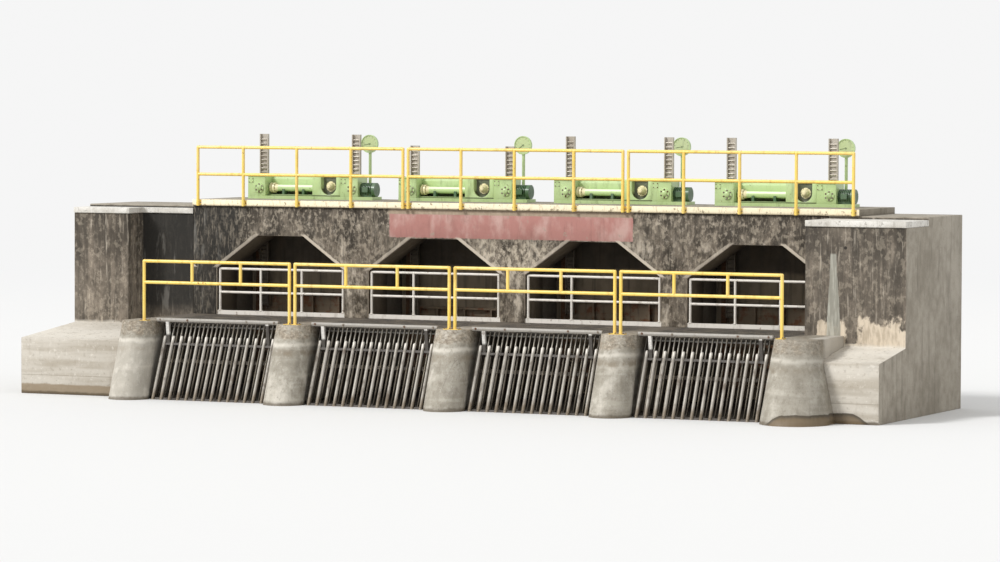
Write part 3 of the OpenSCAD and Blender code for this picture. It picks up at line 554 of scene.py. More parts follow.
def drive_shade(f):
    """Painted shade inside the recess of each drive, under the tube and along the drive's foot."""
    recess = f.y.ramp(HOIST_FRONT + 0.012, HOIST_FRONT + 0.03) * f.from_bay_middle.band(0.34, 0.66, 0.01)
    under = f.z.ramp(SHAFT_Z + 0.015, SHAFT_Z - 0.01) * f.from_bay_middle.ramp(0.149, 0.14)
    foot = f.z.ramp(BED_TOP + 0.03, BED_TOP + 0.02)
    return recess * 0.9 | under * f.y.ramp(1.38, 1.42) * 0.85 | foot * 0.7


def tube_highlight(f):
    """A painted highlight along the top of the tube."""
    strip = f.z.band(SHAFT_Z + 0.026, SHAFT_Z + 0.056, 0.006) * f.y.ramp(1.33, 1.3)
    return strip * f.from_bay_middle.band(-0.87, 0.149, 0.002)


def enamel(name, base, dirt, chips, gloss, coat=0.25, shade=None, highlight=None):
    """Brush-painted enamel over steel: sun-faded patches, grime, and chips with rust in them, with painted
    shade and a painted highlight where they are given.
    """
    f = Finish(name)
    faded = tuple(min(1, c * 0.86 + 0.12) for c in base)
    f.colour = f.blend(f.clouds(1.6).ramp(0.4, 0.65) * 0.5, base, faded)
    grime = f.clouds(9, 5, 0.65, (1, 1, 0.35), 4).ramp(0.5, 0.74)
    f.lay(grime * 0.42, *dirt)
    spot = f.clouds(13, 7, 0.7)
    chip = spot.ramp(chips, chips + 0.02)
    f.lay(spot.ramp(chips - 0.05, chips + 0.02) * 0.45, *dirt)
    f.lay(chip * 0.9, bpy.context.scene.sluice_colours.rust)
    if shade:
        f.lay(shade(f), 50, 50, 26)
    # a painted highlight, where one is given
    if highlight:
        f.lay(highlight(f) * 0.8, 240, 248, 222)
    height = f.clouds(60, 2) * 0.15 - chip * 0.8
    return f.done(gloss + grime * 0.25 + chip * 0.4, height, 0.002, 0, (1 - chip) * coat)


def bare_metal(name, base, rust, share, metallic):
    """Weathered steel: dull metal where it is rubbed, rust where it isn't."""
    f = Finish(name)
    patch = f.clouds(7, 7, 0.68)
    rusty = patch.ramp(1 - share - 0.08, 1 - share + 0.12)
    fine = f.clouds(45, 4, 0.6)
    dark = tuple(c * 0.45 for c in rust)
    f.colour = f.blend(rusty, base, f.blend(fine.ramp(0.35, 0.65), dark, rust))
    f.lay(f.runs(0.05, 0.5, 0.55, 0.75) * 0.35, 60, 50, 40)
    return f.done(0.42 + rusty * 0.45, fine * 0.5 + rusty * 0.4, 0.002, (1 - rusty) * metallic)


def guard_bar_finish(look):
    """Round bars, paler where water has polished them, dark and silty at the foot, with a painted highlight
    on the tips and painted shade on the rails and the bars' rear.
    """
    f = Finish("guard_bar_steel")
    patch = f.clouds(6, 6, 0.66, (1, 1, 0.4))
    rusty = patch.ramp(0.5, 0.68)
    f.colour = f.blend(rusty * 0.7, look.old_steel, paint(84, 68, 52))
    f.lay(f.clouds(4, 4).ramp(0.5, 0.66) * 0.5, 176, 170, 160)
    # brighter tips: a painted highlight
    tip = f.ragged(0.02, 9).ramp(1.03, 1.13)
    f.lay(tip * 0.75, 228, 222, 212)
    beside = abs(f.from_bay_middle % GUARD_PITCH - GUARD_PITCH / 2)
    foot = f.ragged(0.06, 5).ramp(0.28, 0.08)
    f.lay(foot * 0.7, 104, 88, 66)
    # the rails between the bars and the bars' rear, darkened as painted shade
    rail = beside.ramp(0.029, 0.032) | f.behind_racks.ramp(-2.93, -2.92)
    f.lay(rail * 0.94, 44, 37, 30)
    fine = f.clouds(60, 3)
    return f.done(0.55 + rusty * 0.3, fine * 0.4 + rusty * 0.3, 0.002, (1 - rusty) * 0.25)


def trash_rack_finish(look):
    """Flat rack bars: brown rust, with a dry silt film that pales towards the top, painted shade on their
    rear and a painted shadow of the pier at the left of each bay.
    """
    f = Finish("trash_rack_steel")
    patch = f.clouds(8, 6, 0.66, (1, 1, 0.5))
    f.colour = f.blend(patch.ramp(0.4, 0.62), paint(176, 167, 152), paint(196, 184, 165))
    film = f.z.ramp(0.7, 1.2) * f.clouds(5, 4).ramp(0.3, 0.6)
    f.lay(film * 0.8, 232, 226, 214)
    f.lay(f.ragged(0.12, 2).ramp(0.5, 0.1) * 0.75, 64, 54, 43)
    # the bars' rear, darkened as painted shade
    f.lay(f.behind_racks.ramp(-2.84, -2.824) * 0.9, 46, 39, 31)
    # a painted shadow of the pier over the left of each bay's rack
    pier_shadow = (f.along_bay + (f.clouds(2) - 0.5) * 0.2).ramp(0.6, 0.48)
    f.lay(pier_shadow * 0.7, 52, 44, 35)
    fine = f.clouds(60, 3)
    return f.done(0.8, fine * 0.5 + patch * 0.4, 0.002)


def plate_finish(look):
    """Chequer plate: raised lozenges in two directions, dark paint worn to steel on their tops."""
    f = Finish("chequer_plate")
    pitch = 0.05
    ridges = []
    for turn in SIDES:
        along, across = (f.x + f.y * turn) / pitch, (f.x - f.y * turn) / pitch
        cell = abs((along + (0 if turn > 0 else 0.5)) % 1 - 0.5)
        ridges.append(cell.ramp(0.13, 0.07) * abs(across % 1 - 0.5).ramp(0.4, 0.3))
    ridge = ridges[0] | ridges[1]
    worn = f.clouds(5, 6, 0.65).ramp(0.42, 0.62)
    f.colour = f.blend(worn * 0.5, paint(70, 66, 60), paint(98, 84, 68))
    f.lay(ridge * worn * 0.7, 158, 152, 142)
    dust = f.clouds(2.2, 5, 0.6).ramp(0.5, 0.7)
    f.lay(dust * 0.45, 150, 138, 118)
    seam = abs((f.x + PLATE_SHIFT) % PLATE_LENGTH - PLATE_LENGTH / 2).ramp(0.004, 0.002) * f.z.ramp(1.4, 1.44)
    f.lay(seam * 0.8, 26, 22, 18)
    return f.done(0.7 - ridge * 0.15, ridge - seam, 0.003, worn * ridge * 0.4)


def beam_finish(look):
    """Hot-dipped steel of the walkway beams, chalky and streaked with rust."""
    f = Finish("beam_zinc")
    spangle = f.cells(f.place, 26)
    f.colour = f.blend(spangle.ramp(0.1, 0.6), paint(232, 228, 220), paint(208, 205, 199))
    f.lay(f.runs(0.05, 0.25, 0.56, 0.72) * 0.5, 124, 96, 70)
    f.lay(f.clouds(5, 5, 0.66).ramp(0.58, 0.7) * 0.7, 112, 100, 86)
    front = f.z.ramp(1.428, 1.436)
    f.lay(front * 0.7, 160, 155, 146)
    f.lay(front * f.z.ramp(1.47, 1.462) * 0.6, 92, 84, 73)
    shade = f.z.ramp(1.22, 1.17) | f.along_bay.ramp(2.5, 2.52) * f.z.ramp(1.42, 1.4)
    f.lay(shade * 0.93, 48, 41, 33)
    return f.done(0.55, f.clouds(40, 3) * 0.4, 0.002, 0.15)


def gate_finish(look):
    """Brown bitumen paint on the leaves, with rust along the ribs, silt and lime tide lines."""
    f = Finish("gate_paint")
    patch = f.clouds(4, 7, 0.66)
    f.colour = f.blend(patch.ramp(0.48, 0.62), look.gate, paint(118, 76, 48))
    f.lay(f.runs(0.08, 0.7, 0.5, 0.68) * 0.5, 62, 50, 38)
    tide = f.clouds(1, 4, stretch=(0.3, 0.3, 9)).ramp(0.5, 0.72)
    f.lay(tide * 0.4, 146, 134, 114)
    fine = f.clouds(40, 4)
    return f.done(0.78, patch * 0.6 + fine * 0.3, 0.003)


def rubber_finish(look):
    """Black sealing rubber with dry silt on it."""
    f = Finish("seal_rubber")
    dust = f.clouds(12, 5).ramp(0.42, 0.66)
    f.colour = f.blend(dust * 0.5, paint(36, 35, 34), paint(112, 104, 90))
    return f.done(0.75, dust, 0.001)


def greased_finish(look):
    """The lifting racks: steel under old grease, rubbed bright on the rungs."""
    f = Finish("greased_steel")
    smear = f.clouds(6, 6, 0.66, (1, 1, 0.3)).ramp(0.42, 0.64)
    f.colour = f.blend(smear * 0.7, paint(186, 179, 167), paint(154, 144, 128))
    # darker towards the bottom
    f.lay(f.z.ramp(3.95, 3.2) * 0.82, 84, 74, 60)
    return f.done(0.42 + smear * 0.25, smear, 0.001, (1 - smear) * 0.5)


MAKERS = {
    "pier": pier_finish,
    "headwall": headwall_finish,
    "bank": bank_finish,
    "coping": coping_finish,
    "well": well_finish,
    "gate_wall": well_back_finish,
    "deck": deck_finish,
    "plate": plate_finish,
    "beam": beam_finish,
    "trash_rack": trash_rack_finish,
    "guard_bar": guard_bar_finish,
    "gate": gate_finish,
    "rubber": rubber_finish,
    "rack": greased_finish,
}
FINISHES = {}


def finish_named(name):
    """The material of one finish, made the first time that it is asked for."""
    look = bpy.context.scene.sluice_colours
    enamels = {
        "yellow": ("yellow_enamel", look.yellow, (150, 112, 52), 0.665, 0.4),
        "grey_rail": ("grey_enamel", look.grey_rail, (120, 104, 84), 0.65, 0.5, 0.1),
        "pale_green": ("pale_green_enamel", look.pale_green, (92, 104, 60), 0.67, 0.34),
        "drive": ("drive_enamel", look.pale_green, (92, 104, 60), 0.67, 0.34, 0.25, drive_shade, tube_highlight),
        "dark_green": ("dark_green_enamel", look.dark_green, (40, 46, 30), 0.66, 0.4),
        "cream": ("cream_enamel", look.cream, (120, 108, 70), 0.68, 0.36),
        "dial_face": ("dial_enamel", look.dial_face, (110, 118, 84), 0.7, 0.3),
        "dial_mark": ("dial_mark_enamel", paint(126, 140, 100), (90, 100, 74), 0.8, 0.4),
    }
    metals = {
        "guide": ("guide_steel", paint(96, 84, 70), paint(104, 70, 44), 0.6, 0.3),
        "bolt": ("bolt_steel", paint(150, 142, 130), look.rust, 0.5, 0.6),
    }
    if name not in FINISHES:
        if name in enamels:
            FINISHES[name] = enamel(*enamels[name])
        elif name in metals:
            FINISHES[name] = bare_metal(*metals[name])
        else:
            FINISHES[name] = MAKERS[name](look)
    return FINISHES[name]


def seat_at(at, axis):
    """The turn and the move that stand a shape built along Z on a point, along an axis."""
    return Matrix.Translation(at) @ axis.to_track_quat("Z", "Y").to_matrix().to_4x4()


def disc(shape, at, axis, radius, depth, top=None, sides=24):
    """A round or many-sided disc or cone that stands on a point, along an axis."""
    bmesh.ops.create_cone(
        shape, cap_ends=True, segments=sides, radius1=radius, radius2=radius if top is None else top,
        depth=depth, matrix=seat_at(at, axis) @ Matrix.Translation((0, 0, depth / 2)),
    )


def box(shape, low, high):
    """A box between two corners."""
    low, high = Vector(low), Vector(high)
    seat = Matrix.Translation((low + high) / 2) @ Matrix.Diagonal((*(high - low), 1))
    return bmesh.ops.create_cube(shape, size=1, matrix=seat)["verts"]


def bolt(shape, at, axis, width):
    """A hex bolt head on its washer, with the end of its thread."""
    at = Vector(at)
    disc(shape, at, axis, width * 0.95, width * 0.12, sides=12)
    disc(shape, at + axis * width * 0.1, axis, width * 0.58, width * 0.55, width * 0.5, 6)
    disc(shape, at + axis * width * 0.6, axis, width * 0.28, width * 0.3, width * 0.22, 8)


def ring(at, axis, radius, count, first=0):
    """Places on a circle round a point, on a face that looks along an axis."""
    across = BANKWARD if axis.x else RIGHT
    for k in range(count):
        turn = math.radians(first + k * 360 / count)
        yield Vector(at) + (across * math.cos(turn) + UP * math.sin(turn)) * radius


def bolt_ring(shape, at, axis, width, radius, count, first=0):
    """Bolts on a circle round a point."""
    for spot in ring(at, axis, radius, count, first):
        bolt(shape, spot, axis, width)


def spin(shape, geometry, seat, steps):
    """Spins corners and edges all the way round a seat's own axis."""
    bmesh.ops.spin(
        shape, geom=geometry, cent=seat.translation, axis=seat.to_3x3() @ UP, angle=2 * math.pi,
        steps=steps, use_merge=True,
    )


def bead(shape, at, axis, radius, thickness):
    """A weld bead: a small round section spun round a joint."""
    seat = seat_at(at, axis)
    section = seat @ Matrix.Translation((radius, 0, 0)) @ Matrix.Rotation(math.pi / 2, 4, "X")
    corners = bmesh.ops.create_circle(shape, segments=6, radius=thickness, matrix=section)["verts"]
    spin(shape, [*corners, *{e for v in corners for e in v.link_edges}], seat, 14)


def lathe(shape, outline, at, axis, steps):
    """A turned shape: an outline of radius and height pairs, spun round an axis."""
    seat = seat_at(at, axis)
    corners = [shape.verts.new(seat @ Vector((radius, 0, height))) for radius, height in outline]
    spin(shape, corners + [shape.edges.new(pair) for pair in zip(corners, corners[1:])], seat, steps)
    bmesh.ops.remove_doubles(shape, verts=shape.verts, dist=1e-5)


def make_piece(name, shape, finish, body=STRUCTURE, round_edges=0):
    """Turns a finished shape into a piece of the sluice that rides on a body."""
    bmesh.ops.recalc_face_normals(shape, faces=shape.faces)
    mesh = bpy.data.meshes.new(name)
    shape.to_mesh(mesh)
    shape.free()
    mesh.materials.append(finish_named(finish))
    mesh.shade_smooth()
    mesh.set_sharp_from_angle(angle=math.radians(32))
    piece = bpy.data.objects.new(name, mesh)
    bpy.context.scene.collection.objects.link(piece)
    if round_edges:
        edge = piece.modifiers.new("Round edges", "BEVEL")
        edge.width = round_edges
        edge.segments = 2
        edge.limit_method = "ANGLE"
        edge.angle_limit = math.radians(40)
        edge.harden_normals = False
    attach(piece, body)
    return piece


def softened(node, name, width, finish, segments=2):
    """A piece with a CAD node's shape and worn or rounded edges, which stands for that node."""
    shape = bmesh.new()
    shape.from_mesh(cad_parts[node].data)
    bmesh.ops.remove_doubles(shape, verts=shape.verts, dist=2e-5)
    bmesh.ops.dissolve_limit(shape, angle_limit=math.radians(0.5), verts=shape.verts, edges=shape.edges)
    sharp = [e for e in shape.edges if len(e.link_faces) == 2 and e.calc_face_angle(0) > math.radians(25)]
    bmesh.ops.bevel(
        shape, geom=sharp, offset=width, offset_type="OFFSET", segments=segments, profile=0.5,
        affect="EDGES", material=-1, clamp_overlap=True,
    )
    piece = make_piece(name, shape, finish)
    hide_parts(node)
    return piece


def cover(finish, *nodes):
    """Gives CAD nodes a finish and leaves their shape alone."""
    for node in nodes:
        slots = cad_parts[node].data.materials
        slots.clear()
        slots.append(finish_named(finish))


class SLUICE_OT_concrete(bpy.types.Operator):
    """Piers, walls, copings and deck, with worn edges and weather stains"""

    bl_idname = "sluice.concrete"
    bl_label = "Concrete"

    def execute(self, context):
        edge = context.scene.sluice_sizes.concrete_edge
        for i in range(1, 6):
            softened(f"pier_{i}", f"washed_pier_{i}", edge, "pier")
        softened("headwall", "stained_headwall", edge, "headwall")
        softened("left_bank_wall", "streaked_left_bank", edge, "bank")
        softened("right_bank_wall", "streaked_right_bank", edge, "bank")
        softened("bank_copings", "worn_copings", edge, "coping")
        softened("deck_slab", "painted_deck", edge * 0.6, "deck")
        cover("gate_wall", "gate_wall", "mouth_sill", "mouth_piers")
        cover("well", "floor_slabs")
        return {"FINISHED"}


class SLUICE_OT_walkway(bpy.types.Operator):
    """Chequer plates, beams and their bolts"""

    bl_idname = "sluice.walkway"
    bl_label = "Walkway"

    def execute(self, context):
        width = context.scene.sluice_sizes.bolt
        cover("plate", "walkway_plates")
        cover("beam", "walkway_beams")
        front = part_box("walkway_plates")[0].y
        bolts = bmesh.new()
        for bay in BAY_X:
            for k, y in product(range(7), (front + 0.04, -0.05)):
                disc(bolts, (bay - 1.2 + k * 0.4, y, WALK_Z), UP, width * 0.5, 0.004, width * 0.42, 12)
            for s, x in product(SIDES, (0.62, 1.2)):
                bolt(bolts, (bay + s * x, front - 0.06, WALK_Z + 0.018), RIVERWARD, width * 0.8)
        make_piece("walkway_bolts", bolts, "bolt")
        return {"FINISHED"}


class SLUICE_OT_racks(bpy.types.Operator):
    """Trash racks and guard bars, with round tips and welds"""

    bl_idname = "sluice.racks"
    bl_label = "Racks"

    def execute(self, context):
        weld = context.scene.sluice_sizes.weld
        foot = 0.041
        for i, bay in BAYS:
            cover("trash_rack", f"trash_rack_{i}")
            cover("guard_bar", f"guard_bars_{i}")
            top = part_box(f"guard_bars_{i}")[1].z
            tips, welds = bmesh.new(), bmesh.new()
            for k in range(GUARD_BARS):
                x = bay + (k - (GUARD_BARS - 1) / 2) * GUARD_PITCH
                tip = Matrix.Translation((x, GUARD_FOOT_Y + RACK_LEAN * top, top - 0.006))
                dome = tip @ Matrix.Diagonal((1, 1.08, 0.85, 1))
                bmesh.ops.create_uvsphere(tips, u_segments=12, v_segments=8, radius=0.0305, matrix=dome)
                bead(welds, (x, GUARD_FOOT_Y + RACK_LEAN * foot, foot), UP, 0.032, weld)
            make_piece(f"guard_bar_tips_{i}", tips, "guard_bar")
            make_piece(f"guard_bar_welds_{i}", welds, "guard_bar")
        return {"FINISHED"}


class SLUICE_OT_railings(bpy.types.Operator):
    """Yellow and grey railings, with their welds, flanges and bolts"""

    bl_idname = "sluice.railings"
    bl_label = "Railings"

    def execute(self, context):
        sizes = context.scene.sluice_sizes
        weld = sizes.weld
        welds, bolts, grey_welds = bmesh.new(), bmesh.new(), bmesh.new()
        y = middle("walkway_rail_1").y
        foot, mid, top = (WALK_Z + height for height in WALK_RAIL_HEIGHTS)
        for i in BAY_NUMBERS:
            cover("yellow", f"walkway_rail_{i}")
            low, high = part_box(f"walkway_rail_{i}")
            posts = (low.x + 0.054, high.x - 0.054)
            for x, s in zip(posts, (1, -1)):
                bead(welds, (x, y, foot), UP, 0.031, weld)
                for z in (mid, top):
                    bead(welds, (x + s * TUBE, y, z), RIGHT, TUBE, weld)
                for dx, dy in product((-0.035, 0.07), (-0.055, 0.055)):
                    bolt(bolts, (x + s * dx, y + dy, foot), UP, sizes.bolt * 0.8)
            for k, z in product((1, 2), (mid + TUBE, top - TUBE)):
                bead(welds, (posts[0] + k * (posts[1] - posts[0]) / 3, y, z), UP, TUBE, weld)
        for i in (1, 2, 3):
            cover("yellow", f"deck_rail_{i}")
            low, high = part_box(f"deck_rail_{i}")
            y = (low.y + high.y) / 2
            panel = (high.x - low.x - 2 * POST_HALF_CLAMP) / DECK_RAIL_PANELS
            for k, s in product(range(DECK_RAIL_PANELS + 1), SIDES):
                x = low.x + POST_HALF_CLAMP + k * panel + POST_STRAYS.get((i, k), 0)
                if 0 <= k + s <= DECK_RAIL_PANELS:
                    for z in (high.z - TUBE - DECK_RAIL_DROP, high.z - TUBE):
                        bead(welds, (x + s * TUBE, y, z), RIGHT, TUBE, weld)
                bolt(bolts, (x + s * 0.039, y + 0.02, DECK_Z - 0.06), RIVERWARD, sizes.bolt * 0.45)
        for i, bay in BAYS:
            cover("grey_rail", f"opening_rail_{i}")
            y = middle(f"opening_rail_{i}").y
            for x in OPENING_POSTS:
                disc(grey_welds, (bay + x, y, WALK_Z + 0.08), UP, 0.042, 0.008, sides=20)
                bead(grey_welds, (bay + x, y, WALK_Z + 0.088), UP, 0.025, weld)
                for z, s in product(OPENING_RAIL_HEIGHTS, SIDES):
                    if abs(x + s) < OPENING_POSTS[-1]:
                        bead(grey_welds, (bay + x + s * 0.024, y, WALK_Z + z), RIGHT, 0.024, weld * 0.8)
        make_piece("railing_welds", welds, "yellow")
        make_piece("railing_bolts", bolts, "bolt")
        make_piece("opening_rail_flanges", grey_welds, "grey_rail")
        return {"FINISHED"}


class SLUICE_OT_gates(bpy.types.Operator):
    """Gate leaves, guides and lifting racks, with bolts and sealing strips"""

    bl_idname = "sluice.gates"
    bl_label = "Gates"

    def execute(self, context):
        width = context.scene.sluice_sizes.bolt
        cover("guide", "gate_guides")
        for i, bay in BAYS:
            cover("gate", f"gate_leaf_{i}")
            cover("rack", f"lifting_racks_{i}")
            low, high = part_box(f"gate_leaf_{i}")
            bolts, strips = bmesh.new(), bmesh.new()
            for s in SIDES:
                for dx, dz in product((-0.035, 0.035), (0.05, 0.21)):
                    bolt(bolts, (bay + s * RACK_REACH + dx, low.y, high.z - dz), RIVERWARD, width * 0.9)
                x = bay + s * SEAL_REACH
                box(strips, (x - 0.014, 1.462, low.z + 0.01), (x + 0.014, 1.4975, high.z - 0.01))
                x = bay + s * SEAL_BOLT_REACH
                for k in range(8):
                    bolt(bolts, (x, 1.4605, low.z + 0.16 + k * 0.18), RIVERWARD, width * 0.6)
            box(strips, (low.x + 0.08, 1.3655, low.z + 0.001), (high.x - 0.08, 1.39, low.z + 0.02))
            make_piece(f"gate_bolts_{i}", bolts, "bolt", f"gate_{i}")
            make_piece(f"gate_seals_{i}", strips, "rubber", f"gate_{i}")
        return {"FINISHED"}


HOUSING_CAP = ((0.052, 0), (0.052, 0.012), (0.04, 0.022), (0.018, 0.026), (0, 0.027))
COUPLING = ((0.075, 0), (0.075, 0.02), (0.068, 0.05), (0.0655, 0.07))
DRIVE_CONE = ((0.1, 0), (0.1, 0.01), (0.078, 0.014), (0.074, 0.03), (0.066, 0.044), (0.06, 0.07),
              (0.047, 0.084), (0.042, 0.112), (0.028, 0.124), (0, 0.128))


class SLUICE_OT_hoists(bpy.types.Operator):
    """Hoist castings, couplings, cones, motors and bolts"""

    bl_idname = "sluice.hoists"
    bl_label = "Hoists"

    def execute(self, context):
        edge = context.scene.sluice_sizes.casting_edge
        softened("rack_housings", "rack_gear_housings", edge, "pale_green", 3)
        softened("hoist_drives", "gear_drives", edge * 0.5, "drive")
        cover("pale_green", "hoist_beds")
        cover("dark_green", "hoist_motors")
        bolts, cream, green, dark = bmesh.new(), bmesh.new(), bmesh.new(), bmesh.new()
        cap_y, cone_z, motor_z = HOIST_FRONT - 0.021, SHAFT_Z + 0.04, BED_TOP + 0.135
        rows, plate_y = (HOIST_FRONT + 0.012, HOIST_BACK - 0.012), HOIST_FRONT - 0.006
        for bay, s in product(BAY_X, SIDES):
            # round cap, top and cover plate of each rack's housing
            x = bay + s * RACK_REACH
            lathe(green, HOUSING_CAP, (x, cap_y, SHAFT_Z), RIVERWARD, 24)
            bolt_ring(bolts, (x, cap_y, SHAFT_Z), RIVERWARD, 0.018, 0.074, 6, 30)
            for spot in product((x - 0.215, x - 0.13, x + 0.095), rows, (DRIVE_TOP,)):
                bolt(bolts, spot, UP, 0.02)
            box(green, (x - 0.235, plate_y, BED_TOP + 0.25), (x - 0.13, plate_y + 0.008, BED_TOP + 0.345))
            for spot in product((x - 0.222, x - 0.143), (plate_y,), (BED_TOP + 0.262, BED_TOP + 0.333)):
                bolt(bolts, spot, RIVERWARD, 0.012)
        for bay in BAY_X:
            # the cream coupling next to the left housing, and the flange at the drive
            for x in (-0.842, -0.79):
                disc(cream, (bay + x, RACK_Y, SHAFT_Z), RIGHT, 0.1, 0.04, sides=32)
            lathe(cream, COUPLING, (bay - 0.75, RACK_Y, SHAFT_Z), RIGHT, 28)
            bolt_ring(bolts, (bay - 0.752, RACK_Y, SHAFT_Z), RIGHT, 0.016, 0.082, 8)
            disc(green, (bay + 0.118, RACK_Y, SHAFT_Z), RIGHT, 0.098, 0.03, sides=32)
            bolt_ring(bolts, (bay + 0.1185, RACK_Y, SHAFT_Z), LEFT, 0.014, 0.082, 8, 22.5)
            # saddles that carry the tube on its tray
            low, high = BED_TOP + 0.026, SHAFT_Z - 0.02
            for x in (bay - 0.55, bay - 0.12):
                box(dark, (x - 0.025, RACK_Y - 0.075, low), (x + 0.025, RACK_Y + 0.06, high))
            # the cream cone in the recess of the drive, and the drive's top cover
            lathe(cream, DRIVE_CONE, (bay + 0.5, HOIST_FRONT + 0.1195, cone_z), RIVERWARD, 36)
            bolt_ring(bolts, (bay + 0.5, HOIST_FRONT + 0.11, cone_z), RIVERWARD, 0.012, 0.089, 6)
            low, high = DRIVE_TOP - 0.0005, DRIVE_TOP + 0.0004
            box(green, (bay + 0.2, HOIST_FRONT + 0.06, low), (bay + 0.6, HOIST_BACK - 0.06, high))
            # the motor's junction box, and the rings and holes of its fan cowl
            low, high = motor_z - 0.045, motor_z + 0.055
            box(dark, (bay + 1.2, RACK_Y - 0.17, low), (bay + 1.32, RACK_Y - 0.1, high))
            for radius in (0.035, 0.065, 0.095):
                bead(dark, (bay + 1.439, RACK_Y, motor_z), RIGHT, radius, 0.003)
                for spot in ring((bay + 1.436, RACK_Y, motor_z), RIGHT, radius + 0.015, 8):
                    disc(dark, spot, RIGHT, 0.004, 0.003, sides=6)
        make_piece("hoist_bolts", bolts, "bolt")
        make_piece("cream_couplings", cream, "cream")
        make_piece("hoist_covers", green, "pale_green", round_edges=0.002)
        make_piece("motor_cowls", dark, "dark_green", round_edges=0.002)
        return {"FINISHED"}


def dial_mark(shape, low, high, centre, steps):
    """A flat mark or hand of a dial, built upright and turned so many steps round from the lowest mark."""
    turn = math.radians(225 - 27 * steps)
    lean = Matrix.Translation(centre) @ Matrix.Rotation(math.pi / 2 - turn, 4, "Y")
    bmesh.ops.transform(shape, matrix=lean, verts=box(shape, low, high))


class SLUICE_OT_dials(bpy.types.Operator):
    """Faces, marks and pointers of the gate position dials"""

    bl_idname = "sluice.dials"
    bl_label = "Dials"

    def execute(self, context):
        tick = context.scene.sluice_sizes.dial_tick
        cover("pale_green", "position_dials")
        faces, marks, hands = bmesh.new(), bmesh.new(), bmesh.new()
        for i, bay in BAYS:
            centre = Vector((bay + 1.13, HOIST_BACK + 0.12 - 0.038, DECK_Z + 1.075))
            disc(faces, centre, RIVERWARD, 0.158, 0.002, sides=48)
            for k in range(11):
                inner = 0.15 - tick * (1 if k % 2 == 0 else 0.6)
                dial_mark(marks, (-0.003, -0.004, inner), (0.003, -0.001, 0.15), centre, k)
            dial_mark(hands, (-0.005, -0.008, -0.03), (0.005, -0.005, 0.12), centre, 0.3 if i == 2 else 1.3)
            disc(hands, centre, RIVERWARD, 0.016, 0.01, sides=20)
        make_piece("dial_faces", faces, "dial_face")
        make_piece("dial_marks", marks, "dial_mark")
        make_piece("dial_hands", hands, "dial_mark")
        return {"FINISHED"}


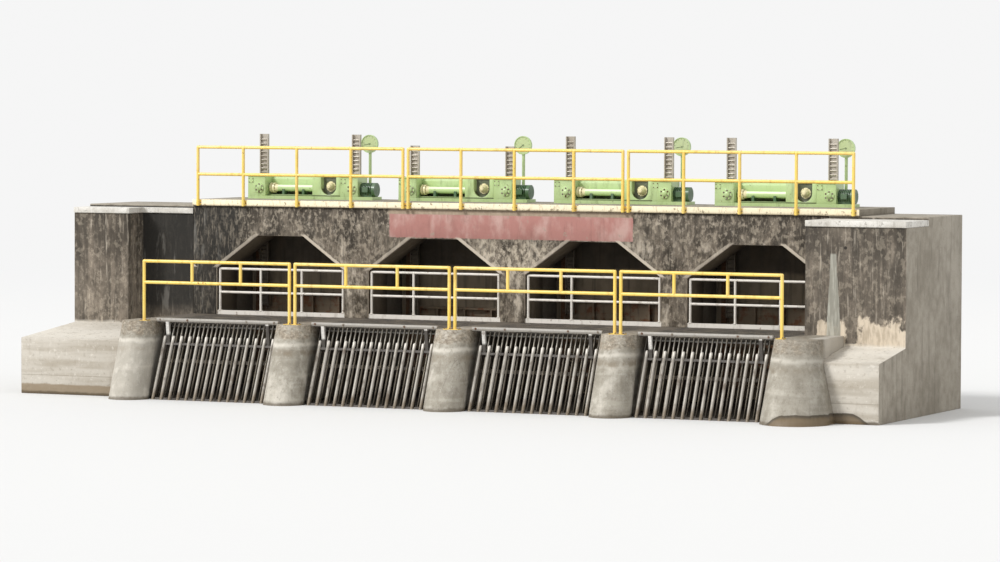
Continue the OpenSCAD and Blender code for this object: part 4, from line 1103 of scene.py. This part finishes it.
class SLUICE_OT_stage(bpy.types.Operator):
    """Pale floor, soft light and the camera"""

    bl_idname = "sluice.stage"
    bl_label = "Stage"

    def execute(self, context):
        scene = context.scene
        scene.view_settings.view_transform = "Standard"
        shape = bmesh.new()
        bmesh.ops.create_circle(shape, cap_ends=True, radius=600, segments=64)
        mesh = bpy.data.meshes.new("studio_floor")
        shape.to_mesh(mesh)
        shape.free()
        floor = bpy.data.objects.new("studio_floor", mesh)
        scene.collection.objects.link(floor)
        mesh.materials.append(self.floor_paint())
        self.light_world(scene)
        key = bpy.data.lights.new("key", "SUN")
        key.energy = 2.4
        key.angle = math.radians(14)
        lamp = bpy.data.objects.new("key", key)
        lamp.rotation_euler = Vector((-0.62, -0.8, 0.8)).to_track_quat("Z", "Y").to_euler()
        scene.collection.objects.link(lamp)
        self.place_camera(scene)
        return {"FINISHED"}

    def floor_paint(self):
        """Pale paint that keeps the shadow near the sluice and turns plain white far off."""
        f = Finish("studio_floor_paint")
        far = f.add("ShaderNodeVectorMath", {"operation": "LENGTH"}, (f.place,), 1).ramp(14, 60)
        f.colour = (0.735, 0.735, 0.727)
        f.done(0.9)
        glow = f.tree.nodes.new("ShaderNodeEmission")
        glow.inputs["Color"].default_value = WHITE
        surface = f.tree.nodes["Material Output"].inputs[0]
        mix_shaders(f.tree, far.output, f.shader.outputs[0], glow.outputs[0], surface)
        return f.material

    def light_world(self, scene):
        """Even light from all round, seen as plain white by the camera and in gloss."""
        world = bpy.data.worlds.new("studio")
        scene.world = world
        world.use_nodes = True
        nodes, links = world.node_tree.nodes, world.node_tree.links
        shine = nodes["Background"]
        shine.inputs["Color"].default_value = (1, 1, 1, 1)
        shine.inputs["Strength"].default_value = 0.82
        white = nodes.new("ShaderNodeBackground")
        white.inputs["Color"].default_value = WHITE
        path = nodes.new("ShaderNodeLightPath")
        seen = nodes.new("ShaderNodeMath")
        seen.operation = "MAXIMUM"
        links.new(path.outputs["Is Camera Ray"], seen.inputs[0])
        links.new(path.outputs["Is Glossy Ray"], seen.inputs[1])
        ends = (node.outputs[0] for node in (seen, shine, white))
        mix_shaders(world.node_tree, *ends, nodes["World Output"].inputs[0])

    def place_camera(self, scene):
        """The photograph's own viewpoint, turned to the sluice and drawn twice as large."""
        data = bpy.data.cameras.new("camera")
        data.sensor_width = 36
        data.lens = 152.3
        data.clip_start, data.clip_end = 1, 2000
        camera = bpy.data.objects.new("camera", data)
        camera.location = (32.4357, -71.8115, 5.7072)
        aim = Vector((-0.25, 0, 2.22)) - camera.location
        turn = aim.to_track_quat("-Z", "Y") @ Matrix.Rotation(0.0039, 3, "Z").to_quaternion()
        camera.rotation_euler = turn.to_euler()
        scene.collection.objects.link(camera)
        scene.camera = camera


class SLUICE_PT_sidebar(bpy.types.Panel):
    """Lists the steps that dress the sluice"""

    bl_idname = "SLUICE_PT_sidebar"
    bl_label = "Sluice"
    bl_space_type = "VIEW_3D"
    bl_region_type = "UI"
    bl_category = "Sluice"

    def draw(self, context):
        for step in STEPS:
            self.layout.operator(step.bl_idname, text=step.bl_label)
        for settings in (context.scene.sluice_colours, context.scene.sluice_sizes):
            column = self.layout.column()
            for name in settings.__annotations__:
                column.prop(settings, name)


STEPS = (
    SLUICE_OT_concrete,
    SLUICE_OT_walkway,
    SLUICE_OT_racks,
    SLUICE_OT_railings,
    SLUICE_OT_gates,
    SLUICE_OT_hoists,
    SLUICE_OT_dials,
    SLUICE_OT_stage,
)
CLASSES = (SluiceColours, SluiceSizes, *STEPS, SLUICE_PT_sidebar)


def register():
    for made in CLASSES:
        bpy.utils.register_class(made)
    bpy.types.Scene.sluice_colours = bpy.props.PointerProperty(type=SluiceColours)
    bpy.types.Scene.sluice_sizes = bpy.props.PointerProperty(type=SluiceSizes)


def unregister():
    del bpy.types.Scene.sluice_sizes
    del bpy.types.Scene.sluice_colours
    for made in reversed(CLASSES):
        bpy.utils.unregister_class(made)


def main():
    register()
    for step in STEPS:
        group, name = step.bl_idname.split(".")
        getattr(getattr(bpy.ops, group), name)()


if __name__ == "__main__":
    main()
